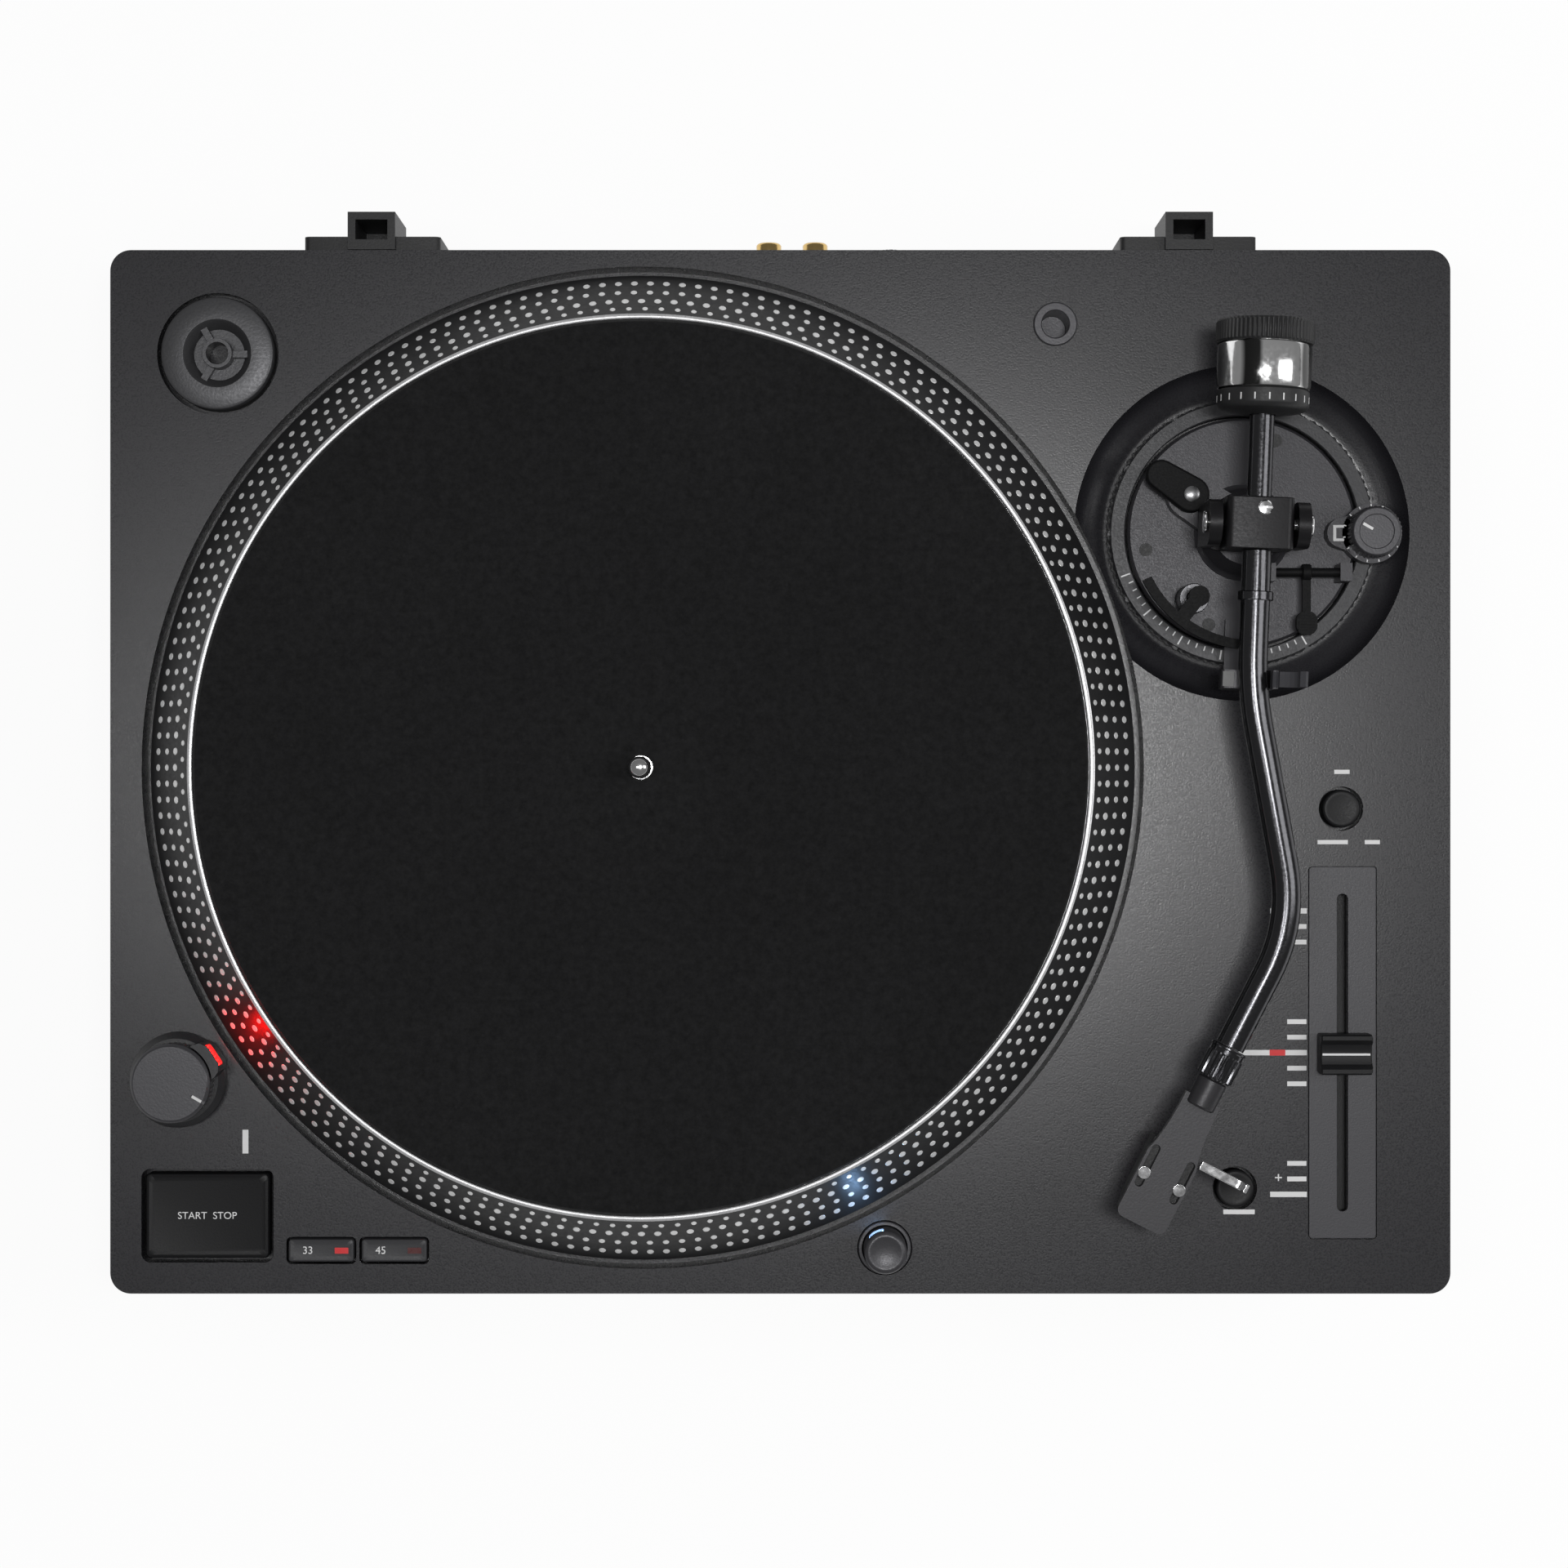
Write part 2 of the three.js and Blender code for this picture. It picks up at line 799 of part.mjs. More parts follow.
function chassisCuts() {
  const floorCut = recessFloorThick + overrun;
  return joined([
    cylinder(platterRadius + recessGap, recessZ, deckZ + overrun, fineSides, spindleX, spindleY),
    cylinder(motorPocketRadius, pocketZ, recessZ + overrun, roundSides, spindleX, spindleY),
    cylinder(across(bearingRadius + seatGap, tinySides), pocketZ - floorCut, pocketZ + overrun,
        tinySides, spindleX, spindleY),
    dishCut(),
    cylinder(across(armStemRadius + seatGap, roundSides), dishZ - deckThick - overrun, dishZ + overrun,
        roundSides, pivotX, pivotY),
    cylinder(adapterRadius + wellGap, adapterFloor, deckZ + overrun, roundSides,
      adapterX, adapterY),
    cylinder(across(lightRadius + collarWall + seatGap, smallSides),
        deckZ - lightSink - lightTravel - overrun, deckZ + overrun,
      smallSides, lightX, lightY),
    cylinder(across(socketRadius + seatGap, smallSides), deckZ - deckThick - overrun, deckZ + overrun,
        smallSides,
      socketX, socketY),
    sliderSeat(),
    panelOpening(),
    ...Object.values(keys).map(keyWellCut),
  ]);
}

function sliderSeat() {
  const width = sliderPanelWidth + 2 * seatGap;
  const length = sliderPanelLength + 2 * seatGap;
  const seat = prism(roundedRectangle(width, length, sliderPanelCorner, sliderX, sliderY),
    deckZ - sliderPanelThick - seatGap, deckZ + overrun);
  const slot = slab(sliderX, sliderY, sliderSlotWidth, 2 * sliderTravel + sliderStemLength + 2 * overrun,
    deckZ - deckThick - overrun, deckZ);
  return seat.add(slot);
}

function panelOpening() {
  const inner = rearY - wallThick - overrun;
  return block(
    [panelX - panelWidth / 2 - seatGap, inner, panelZ - seatGap],
    [panelX + panelWidth / 2 + seatGap, rearY + overrun, panelZ + panelHeight + seatGap],
  );
}

// The deck casting: an open-bottomed shell with the platter recess, the dish and the wells
function topChassis() {
  const outline = roundedRectangle(plinthWidth, plinthDepth, plinthCorner, 0, plinthY);
  const outer = cushioned(outline, chassisBottom, deckZ, deckBevel);
  const inside = roundedRectangle(plinthWidth - 2 * wallThick, plinthDepth - 2 * wallThick,
    plinthCorner - wallThick, 0, plinthY);
  const shell = outer.subtract(prism(inside, chassisBottom - overrun, deckZ - deckThick));
  const within = prism(outline, chassisBottom, deckZ - deckBevel);
  return shell.add(chassisPockets().intersect(within)).subtract(chassisCuts());
}

function footPlaces() {
  const x = plinthWidth / 2 - footInsetX;
  const y = plinthDepth / 2 - footInsetY;
  return {
    foot_front_left: [-x, plinthY - y],
    foot_front_right: [x, plinthY - y],
    foot_rear_left: [-x, plinthY + y],
    foot_rear_right: [x, plinthY + y],
  };
}

// The heavy base under the deck, with bosses for the feet
function lowerBase() {
  const width = plinthWidth - 2 * baseInset;
  const depth = plinthDepth - 2 * baseInset;
  const outline = roundedRectangle(width, depth, plinthCorner, 0, plinthY);
  const inside = roundedRectangle(width - 2 * baseWall, depth - 2 * baseWall, plinthCorner - baseWall / 2,
    0, plinthY);
  const bossTop = baseBottom + footStudLength + baseFloor;
  const bosses = Object.values(footPlaces()).map(([x, y]) =>
    cylinder(footStudRadius + baseWall, baseBottom, bossTop, tinySides, x, y));
  const bores = Object.values(footPlaces()).map(([x, y]) =>
    cylinder(footStudRadius + 2 * runGap, baseBottom - overrun, bossTop + overrun, tinySides, x, y));
  const sideX = plinthWidth / 2 - screwInset;
  const endY = plinthDepth / 2 - screwInset;
  const screwPlaces = [[-sideX, 0], [sideX, 0]].concat([-1, 1].flatMap((side) =>
    [[side * screwSpread, -endY], [side * screwSpread, endY]]));
  const screwHoles = screwPlaces.map(([x, y]) =>
    cylinder(screwRadius + runGap, baseBottom - overrun, baseBottom + screwHeadHeight + seatGap, pinSides,
      x, plinthY + y));
  const ribs = [-baseRibSpread, baseRibSpread].map((x) =>
    slab(x, plinthY, baseWall / 2, depth - baseWall, baseBottom, baseBottom + baseFloor + baseRibRise));
  return prism(outline, baseBottom, baseTop)
    .subtract(prism(inside, baseBottom + baseFloor, baseTop + overrun))
    .add(joined([...bosses, ...ribs]))
    .subtract(joined([...bores, ...screwHoles]));
}

// A damped foot: a soft ribbed skirt round a hard cap, on a stud that screws into the base
function foot([x, y]) {
  const top = footHeight - seatGap;
  const step = (footRubberHeight - footGrooveHeight) / 2;
  const profile = [
    [0, 0],
    [footRadius - footGroove, 0],
    [footRadius, footGroove],
    [footRadius, step],
    [footRadius - footGroove, step + footGrooveHeight / 2],
    [footRadius, step + footGrooveHeight],
    [footRadius, footRubberHeight],
    [footTopRadius, footRubberHeight + footGroove],
    [footTopRadius, top],
    [footStudRadius, top],
    [footStudRadius, top + footStudLength],
    [0, top + footStudLength],
  ];
  return turned(profile, smallSides).translate([x, y, 0]);
}

// Platter: a conical rim round a flat deck, with a hub and ribs beneath
function platter() {
  const rimInner = platterRadius - platterRimWall;
  const underInner = lipRadius - platterRimWall;
  const hole = across(spindleShaft + seatGap, fineSides);
  const casting = turned([
    [hole, hubBottom],
    [hubRadius, hubBottom],
    [hubRadius, platterUnder],
    [underInner, platterUnder],
    [rimInner, platterBottom + platterRimStraight],
    [rimInner, platterBottom],
    [platterRadius, platterBottom],
    [platterRadius, platterBottom + platterRimStraight],
    [lipRadius, platterTop],
    [matSeatRadius, platterTop],
    [matSeatRadius, matSeat],
    [hole, matSeat],
  ], fineSides);
  const ribs = Array.from({ length: platterRibCount }, (_, i) => {
    const rib = block(
      [hubRadius - overrun, -platterRibThick / 2, platterUnder - platterRibDrop],
      [underInner + overrun, platterRibThick / 2, platterUnder + platterDeck / 2],
    );
    return rib.rotate([0, 0, (360 * i) / platterRibCount]);
  });
  return casting.add(joined(ribs)).translate([spindleX, spindleY, 0]);
}

function slipmat() {
  const radius = matSeatRadius - runGap;
  const low = matSeat + seatGap;
  return turned([[matHole, low], [radius, low], [radius, low + matThick], [matHole, low + matThick]],
      wideSides)
    .translate([spindleX, spindleY, 0]);
}

function spindle() {
  const top = matSeat + matThick + spindleRise;
  return turned([
    [0, pocketZ - bearingDrop + bearingFlangeThick],
    [spindleShaft, pocketZ - bearingDrop + bearingFlangeThick],
    [spindleShaft, matSeat + seatGap],
    [spindleRadius, matSeat + seatGap],
    [spindleRadius, top - spindleTaper],
    [spindleRadius - spindleTaper, top],
    [0, top],
  ], smallSides).translate([spindleX, spindleY, 0]);
}

function magnetRing() {
  return turned([
    [magnetHole, magnetBottom],
    [magnetRadius, magnetBottom],
    [magnetRadius, magnetTop],
    [magnetHole, magnetTop],
  ], smallSides).translate([spindleX, spindleY, 0]);
}

function bearingHousing() {
  const bore = across(spindleShaft + seatGap, tinySides);
  const low = pocketZ - bearingDrop;
  const flangeLow = pocketZ + seatGap;
  return turned([
    [0, low],
    [bearingRadius, low],
    [bearingRadius, flangeLow],
    [bearingFlange, flangeLow],
    [bearingFlange, flangeLow + bearingFlangeThick],
    [bearingRadius, flangeLow + bearingFlangeThick],
    [bearingRadius, coilTop],
    [bore, coilTop],
    [bore, low + bearingFlangeThick - seatGap],
    [0, low + bearingFlangeThick - seatGap],
  ], tinySides).translate([spindleX, spindleY, 0]);
}

// Stator: a board on posts, with the flat coils standing on it
function stator() {
  const hole = bearingFlange + runGap;
  const boardTop = boardZ + statorBoardThick;
  const board = turned([[hole, boardZ], [statorRadius, boardZ], [statorRadius, boardTop], [hole, boardTop]],
    smallSides);
  const posts = aroundCircle(statorPostCount, statorRadius - 2 * statorPostRadius, (x, y) =>
    cylinder(statorPostRadius, pocketZ + seatGap, boardTop - statorBoardThick / 2, pinSides, x, y),
        coilCount);
  const coilBottom = boardTop - statorBoardThick / 2;
  const coils = aroundCircle(coilCount, statorRadius * coilCircleShare, (x, y) =>
    cylinder(coilRadius, coilBottom, coilTop, pinSides, x, y));
  return joined([board, ...posts, ...coils]).translate([spindleX, spindleY, 0]);
}

function aroundCircle(count, radius, make, halfStepOf = 0) {
  const start = halfStepOf ? 180 / halfStepOf : 0;
  return Array.from({ length: count }, (_, i) => {
    const angle = (start + (360 * i) / count) * degree;
    return make(radius * Math.cos(angle), radius * Math.sin(angle));
  });
}

// Adapter for large-hole records: a disc with a dished top, a hub and webs
function recordAdapter() {
  const low = adapterFloor + seatGap;
  const top = low + adapterHeight;
  const dish = turned([
    [adapterHubRadius, top - adapterDishDrop],
    [adapterDishRadius, top - adapterDishDrop],
    [adapterDishRadius + adapterDishDrop / 2, top + overrun],
    [adapterHubRadius, top + overrun],
  ], smallSides);
  const webs = Array.from({ length: adapterWebCount }, (_, i) =>
    block([0, -adapterWebThick / 2, top - adapterDishDrop - overrun], [adapterDishRadius + overrun,
      adapterWebThick / 2, top - adapterDishDrop / 2]).rotate([0, 0, (360 * i) / adapterWebCount]));
  const edge = turned([
    [0, low],
    [adapterRadius, low],
    [adapterRadius, top - knobEdge],
    [adapterRadius - knobEdge, top],
    [0, top],
  ], roundSides);
  const bore = cylinder(across(adapterHole, smallSides), low - overrun, top + overrun, smallSides);
  return edge.subtract(dish).add(joined(webs)).subtract(bore)
    .translate([adapterX, adapterY, 0]);
}

// Strobe tower: a round foot with a hood that looks at the platter's rim
const towerHeading = Math.atan2(spindleY - towerY, spindleX - towerX) / degree;
const towerLow = deckZ + seatGap;
const knobLow = towerLow + towerHeight + seatGap;

function strobeHousing() {
  const top = towerLow + towerHeight;
  const body = turned([
    [0, towerLow],
    [towerRadius, towerLow],
    [towerRadius, top - towerShoulder],
    [towerRadius - towerShoulder, top],
    [0, top],
  ], roundSides);
  const post = cylinder(knobPost, top - overrun, knobLow + knobHeight / 2, tinySides);
  const hood = block([0, -hoodWidth / 2, towerLow], [hoodReach, hoodWidth / 2, towerLow + hoodHeight]);
  const room = cylinder(knobRadius + runGap, top, towerLow + hoodHeight + overrun, roundSides);
  return body.add(hood.subtract(room)).add(post).subtract(windowCut())
    .rotate([0, 0, towerHeading]).translate([towerX, towerY, 0]);
}

function windowCut() {
  const low = towerLow + hoodWindowRise;
  return block([hoodReach - hoodWindowDepth, -hoodWindowWidth / 2, low],
    [hoodReach + overrun, hoodWindowWidth / 2, low + hoodWindowHeight]);
}

function strobeLens() {
  const low = towerLow + hoodWindowRise + seatGap;
  const back = hoodReach - hoodWindowDepth + seatGap;
  const half = hoodWindowWidth / 2 - seatGap;
  return block([back, -half, low], [back + lensThick, half, low + hoodWindowHeight - 2 * seatGap])
    .rotate([0, 0, towerHeading]).translate([towerX, towerY, 0]);
}

function powerKnob() {
  const top = knobLow + knobHeight;
  const cap = turned([
    [0, knobLow],
    [knobRadius, knobLow],
    [knobRadius, top - knobEdge],
    [knobRadius - knobEdge, top],
    [0, top],
  ], roundSides);
  const bore = cylinder(across(knobPost + seatGap, tinySides), knobLow - overrun,
      knobLow + knobHeight / 2 + seatGap, tinySides);
  const notch = block([-knobNotch / 2, knobRadius - knobNotchLength, top - knobNotchDepth],
    [knobNotch / 2, knobRadius + overrun, top + overrun]).rotate([0, 0, knobNotchTurn]);
  return cap.subtract(bore.add(notch)).translate([towerX, towerY, 0]);
}

// Pop-up target light in its collar
const lightHeading = Math.atan2(spindleY - lightY, spindleX - lightX) / degree;

function targetCollar() {
  const low = deckZ - deckThick;
  const inner = across(lightRadius + seatGap, smallSides);
  return turned([
    [inner, low],
    [inner + collarWall - seatGap, low],
    [inner + collarWall - seatGap, deckZ + collarRise],
    [inner, deckZ + collarRise],
  ], smallSides).translate([lightX, lightY, 0]);
}

function targetTube() {
  const top = deckZ + lightRise;
  const tube = turned([
    [0, deckZ - lightSink],
    [lightRadius, deckZ - lightSink],
    [lightRadius, top - lightCapEdge],
    [lightRadius - lightCapEdge, top],
    [0, top],
  ], smallSides);
  const windowLow = top - lightWindowDrop - lightWindowHeight;
  const window = block([lightRadius - lightWindowDepth, -lightWindowWidth / 2, windowLow],
    [lightRadius + overrun, lightWindowWidth / 2, windowLow + lightWindowHeight]);
  return tube.subtract(window).rotate([0, 0, lightHeading]).translate([lightX, lightY, 0]);
}

function targetLens() {
  const top = deckZ + lightRise - lightWindowDrop - seatGap;
  const low = top - lightWindowHeight + 2 * seatGap;
  const back = lightRadius - lightWindowDepth + seatGap;
  const half = lightWindowWidth / 2 - seatGap;
  return block([back, -half, low], [back + lightLensThick, half, top])
    .rotate([0, 0, lightHeading]).translate([lightX, lightY, 0]);
}

// Tempo slider: a panel with a slot, a cap with a waist, and the track beneath

function sliderPanel() {
  const low = deckZ - sliderPanelThick;
  const plate = prism(roundedRectangle(sliderPanelWidth, sliderPanelLength, sliderPanelCorner, sliderX,
      sliderY),
    low, deckZ);
  const slot = slab(sliderX, sliderY, sliderSlotWidth, 2 * sliderTravel + sliderStemLength + overrun,
    low - overrun, deckZ + overrun);
  return plate.subtract(slot);
}

function sliderCap() {
  const low = deckZ + sliderCapFloat;
  const half = sliderCapLength / 2;
  const waist = half - sliderCapWaist;
  const side = new THREE.Shape();
  side.moveTo(-half, 0);
  side.lineTo(half, 0);
  side.lineTo(waist + sliderCapDish / 2, sliderCapHeight);
  side.quadraticCurveTo(0, sliderCapHeight - sliderCapDish, -waist - sliderCapDish / 2, sliderCapHeight);
  side.closePath();
  const geometry = new THREE.ExtrudeGeometry(side, {
    depth: sliderCapWidth,
    bevelEnabled: false,
    curveSegments: cornerSteps,
  });
  geometry.translate(0, 0, -sliderCapWidth / 2).rotateX(Math.PI / 2).rotateZ(Math.PI / 2);
  const cap = solid(geometry).translate([sliderX, sliderY, low]);
  const stem = slab(sliderX, sliderY, sliderStemWidth, sliderStemLength, deckZ - sliderStemDrop,
    low + sliderCapHeight / 2);
  return cap.add(stem);
}

function sliderTrack() {
  const top = deckZ - deckThick - seatGap;
  const length = sliderPanelLength - sliderCapLength / 2;
  const body = slab(sliderX, sliderY, sliderTrackWidth, length, top - sliderTrackHeight, top);
  const groove = slab(sliderX, sliderY, sliderTrackGroove,
      2 * sliderTravel + sliderStemLength + 2 * overrun,
    top - sliderTrackDrop, top + overrun);
  return body.subtract(groove);
}

// Spare headshell socket: a flanged sleeve in the deck
function headshellSocket() {
  const low = deckZ - socketDepth;
  const lipLow = deckZ + seatGap;
  return turned([
    [0, low],
    [socketRadius, low],
    [socketRadius, lipLow],
    [socketRadius + socketLip, lipLow],
    [socketRadius + socketLip, lipLow + socketRise],
    [socketHole, lipLow + socketRise],
    [socketHole, low + socketLip],
    [0, low + socketLip],
  ], smallSides).translate([socketX, socketY, 0]);
}

// Hinge holder: a plate on the rear wall with a socket that is open upwards
function hingeHolder(x) {
  const top = deckZ - holderTopDrop;
  const low = top - holderHeight;
  const back = rearY + seatGap;
  const plateShape = roundedRectangle(holderWidth, holderHeight, holderCorner);
  const geometry = new THREE.ExtrudeGeometry(plateShape, {
    depth: holderThick - seatGap,
    bevelEnabled: false,
    curveSegments: cornerSteps,
  });
  const plate = solid(geometry.rotateX(Math.PI / 2))
    .translate([x, rearY + holderThick, (top + low) / 2]);
  const bolts = [-holderWidth, holderWidth].map((side) =>
    rodY(holderBolt, back + holderThick / 2, rearY + holderThick + overrun, tinySides,
      x + side / 2 * holderBoltShare, (top + low) / 2));
  const socket = slab(x, (back + rearY + holderProtrusion) / 2, holderSocketWidth,
      holderProtrusion - seatGap,
    low, top + holderSocketWall);
  const pocketFront = rearY + holderThick - holderSocketWall / 2;
  const pocket = block([x - holderSocketWidth / 2 + holderSocketWall, pocketFront, low + holderSocketFloor],
    [x + holderSocketWidth / 2 - holderSocketWall, rearY + holderProtrusion - holderSocketWall,
        deckZ + overrun]);
  return plate.add(socket).subtract(joined([pocket, ...bolts]));
}

// Height ring: notched all round, it screws the arm base up and down
function heightRing() {
  const ring = turned([
    [ringInner, ringBottom],
    [ringOuter, ringBottom],
    [ringOuter, ringTop - ringNotchDepth],
    [ringOuter - ringNotchDepth, ringTop],
    [ringInner, ringTop],
  ], wideSides);
  const notchHalf = ringNotchWidth / 2;
  const notches = aroundCircle(ringNotchCount, ringOuter, (x, y) =>
    block([-ringNotchDepth, -notchHalf, ringBottom + ringHeight / 2],
      [ringNotchDepth, notchHalf, ringTop + overrun])
      .rotate([0, 0, Math.atan2(y, x) / degree]).translate([x, y, 0]));
  return ring.subtract(joined(notches)).translate([pivotX, pivotY, 0]);
}

// Arm base, in a frame whose origin is the pivot seen from above
const shelfLow = armBaseTop + seatGap;
const shelfTop = shelfLow + rackArmThick;
const cradleZ = axisZ - tubeRadius - rackCradleGap;
const hornX = tubeRadius + 2 * runGap;

function polar(reach, angle) {
  return [reach * Math.cos(angle * degree), reach * Math.sin(angle * degree)];
}

function armBase() {
  const plate = turned([
    [0, armBaseBottom],
    [armBaseRadius, armBaseBottom],
    [armBaseRadius, armBaseTop - armBaseEdge],
    [armBaseRadius - armBaseEdge, armBaseTop],
    [0, armBaseTop],
  ], wideSides);
  const stem = cylinder(armStemRadius, armBaseBottom - armStemLength, armBaseBottom + armBaseThick / 2,
      roundSides);
  const pillar = cone(pillarRadius, pillarTopRadius, armBaseTop - armBaseEdge, pillarTop, roundSides);
  const yawBore = cylinder(across(yawShaftRadius + seatGap, smallSides),
      pillarTop - yawShaftLength - seatGap, pillarTop + overrun,
    smallSides);
  const [bridgeX, bridgeY] = polar(bridgeReach, bridgeAngle);
  const bridge = prism(tapered(0, 0, bridgeWidth / 2 + armBaseEdge, bridgeX, bridgeY, bridgeWidth / 2),
    armBaseTop - armBaseEdge, armBaseTop + bridgeHeight);
  const [dialX, dialY] = polar(dialReach, dialAngle);
  const [rootX, rootY] = polar(dialReach - dialFootRadius, dialAngle);
  const dialFoot = cylinder(dialFootRadius, shelfLow, shelfLow + dialFootRise, smallSides, dialX, dialY);
  const dialRoot = cylinder(dialFootRadius / 2, armBaseTop - armBaseEdge, shelfLow + dialFootRise,
      tinySides,
    rootX, rootY);
  const dialPin = cylinder(dialPost, shelfLow, shelfLow + dialFootRise + dialFloat + dialHeight / 2,
      tinySides,
    dialX, dialY);
  return joined([plate, stem, pillar, bridge, dialFoot, dialRoot, dialPin, cuePosts(), armRack()])
    .subtract(yawBore)
    .translate([pivotX, pivotY, 0]);
}

// The rest's shelf, column and horn stand in line with the resting arm
function armRack() {
  const front = -rackReach - rackDepth / 2;
  const back = -rackReach + rackDepth / 2;
  const right = hornX + rackWall;
  const left = right - rackWidth;
  const middle = (left + right) / 2;
  const shelf = block([middle - rackArmWidth / 2, front, shelfLow],
    [middle + rackArmWidth / 2, -armBaseRadius + rackArmWidth, shelfTop]);
  const root = block([middle - rackArmWidth / 2, -armBaseRadius + armBaseEdge + overrun,
      armBaseTop - armBaseEdge],
    [middle + rackArmWidth / 2, -armBaseRadius + rackArmWidth, shelfTop]);
  const side = new THREE.Shape();
  side.moveTo(middle - rackArmWidth / 2, shelfLow);
  side.lineTo(middle + rackArmWidth / 2, shelfLow);
  side.lineTo(right, cradleZ - rackHorn);
  side.lineTo(right, cradleZ + rackHorn);
  side.lineTo(hornX, cradleZ + rackHorn);
  side.lineTo(hornX, cradleZ);
  side.lineTo(left, cradleZ);
  side.lineTo(left, cradleZ - rackHorn);
  side.closePath();
  const column = solid(new THREE.ExtrudeGeometry(side, { depth: rackDepth, bevelEnabled: false })
    .rotateX(Math.PI / 2)).translate([0, back, 0]);
  return joined([shelf, root, column]).rotate([0, 0, -armRestYaw]);
}

function cuePosts() {
  const low = armBaseTop - armBaseEdge;
  const top = armBaseTop + cueShaftRise + cueHubRadius;
  const posts = [cueShaftFrom, cueShaftTo].map((x) => {
    const post = slab(x, -cueShaftDrop, cuePostWidth, cuePostDepth, low, top);
    return post.subtract(rodX(across(cueShaftRadius + seatGap, tinySides), x - cuePostWidth,
        x + cuePostWidth, tinySides,
      -cueShaftDrop, armBaseTop + cueShaftRise));
  });
  return joined(posts);
}

// Cue lever: a shaft in the two posts, with an arm that ends in a finger plate
function cueLever() {
  const z = armBaseTop + cueShaftRise;
  const shaft = rodX(cueShaftRadius, cueShaftFrom - cuePostWidth / 2, cueShaftTo + cuePostWidth / 2,
      tinySides,
    -cueShaftDrop, z);
  const hub = rodX(cueHubRadius, cueLeverAt - cueLeverWidth / 2, cueLeverAt + cueLeverWidth / 2, tinySides,
    -cueShaftDrop, z);
  const tip = -cueShaftDrop - cueLeverLength;
  const lever = block([cueLeverAt - cueLeverWidth / 2, tip, z - cueLeverThick / 2],
    [cueLeverAt + cueLeverWidth / 2, -cueShaftDrop, z + cueLeverThick / 2]);
  const paddle = cushioned(
    roundedRectangle(cuePaddleWidth, cuePaddleLength, cuePaddleWidth / 2 - seatGap, cueLeverAt,
      tip + cuePaddleLength / 2),
    z - cueLeverThick / 2, z + cueLeverThick, cueLeverThick / 2);
  return joined([shaft, hub, lever, paddle]).translate([pivotX, pivotY, 0]);
}

// Lift bar: an arc under the arm, carried by a plunger in the lift cylinder
const liftTop = axisZ - tubeRadius - liftGap - liftTravel;
const liftLow = liftTop - liftBarThick;
const liftCylinderTop = armBaseTop + liftCylinderRise;

function liftBar() {
  const from = (liftStartAngle - liftArcAngle) * degree;
  const to = liftStartAngle * degree;
  const shape = new THREE.Shape();
  shape.absarc(0, 0, liftRadius + liftBarWidth / 2, from, to, false);
  shape.absarc(0, 0, liftRadius - liftBarWidth / 2, to, from, true);
  const bar = prism(shape, liftLow, liftTop, liftBarSteps);
  const strut = block([liftPostReach, -liftPostRadius, liftLow], [liftRadius, liftPostRadius, liftTop])
    .rotate([0, 0, liftPostAngle]);
  const [x, y] = polar(liftPostReach, liftPostAngle);
  const plunger = cylinder(liftPostRadius, armBaseTop + liftCylinderRise / 2, liftTop, tinySides, x, y);
  return joined([bar, strut, plunger]).translate([pivotX, pivotY, 0]);
}

function liftCylinder() {
  const [x, y] = polar(liftPostReach, liftPostAngle);
  const low = armBaseTop + seatGap;
  const floor = armBaseTop + liftCylinderRise / 2 - seatGap;
  const bore = across(liftPostRadius + seatGap, tinySides);
  return turned([
    [0, low],
    [liftCylinderRadius, low],
    [liftCylinderRadius, liftCylinderTop],
    [bore, liftCylinderTop],
    [bore, floor],
    [0, floor],
  ], tinySides).translate([pivotX + x, pivotY + y, 0]);
}

function lockLever() {
  const [x, y] = polar(bridgeReach, bridgeAngle);
  const [tipX, tipY] = polar(bridgeReach + lockLeverLength, bridgeAngle);
  const low = armBaseTop + bridgeHeight + seatGap;
  return cushioned(tapered(x, y, lockLeverWidth / 2 + armBaseEdge, tipX, tipY, lockLeverTip),
    low, low + lockLeverThick, armBaseEdge).translate([pivotX, pivotY, 0]);
}

function antiSkateDial() {
  const low = shelfLow + dialFootRise + seatGap;
  const top = low + dialHeight;
  const knob = turned([
    [0, low],
    [dialRadius, low],
    [dialRadius, top - armBaseEdge],
    [dialRadius - armBaseEdge, top],
    [0, top],
  ], dialTeeth);
  const bore = cylinder(across(dialPost + seatGap, tinySides), low - overrun,
      low + dialFloat + dialHeight / 2, tinySides);
  const [x, y] = polar(dialReach, dialAngle);
  return knob.subtract(bore).translate([pivotX + x, pivotY + y, 0]);
}

// Rest clip: a hook that is hinged on the horn, shown swung open
function restClip() {
  const pinX = hornX + rackWall / 2;
  const pinZ = cradleZ + rackHorn + clipPin + seatGap;
  const inner = tubeRadius + 2 * runGap;
  const shape = new THREE.Shape();
  shape.absarc(0, axisZ, inner + clipThick, clipFrom * degree, clipTo * degree, false);
  shape.absarc(0, axisZ, inner, clipTo * degree, clipFrom * degree, true);
  const geometry = new THREE.ExtrudeGeometry(shape, {
    depth: clipLength,
    bevelEnabled: false,
    curveSegments: clipSteps,
  });
  const hook = solid(geometry.rotateX(Math.PI / 2)).translate([0, -rackReach + clipLength / 2, 0]);
  const pin = rodY(clipPin, -rackReach - clipLength / 2, -rackReach + clipLength / 2, tinySides, pinX,
      pinZ);
  const lug = block([pinX - clipPin, -rackReach - clipLength / 2, pinZ - clipPin / 2],
    [pinX, -rackReach + clipLength / 2, pinZ + clipPin / 2]);
  return joined([hook, pin, lug])
    .translate([-pinX, 0, -pinZ])
    .rotate([0, clipTurn, 0])
    .translate([pinX, 0, pinZ])
    .rotate([0, 0, -armRestYaw])
    .translate([pivotX, pivotY, 0]);
}

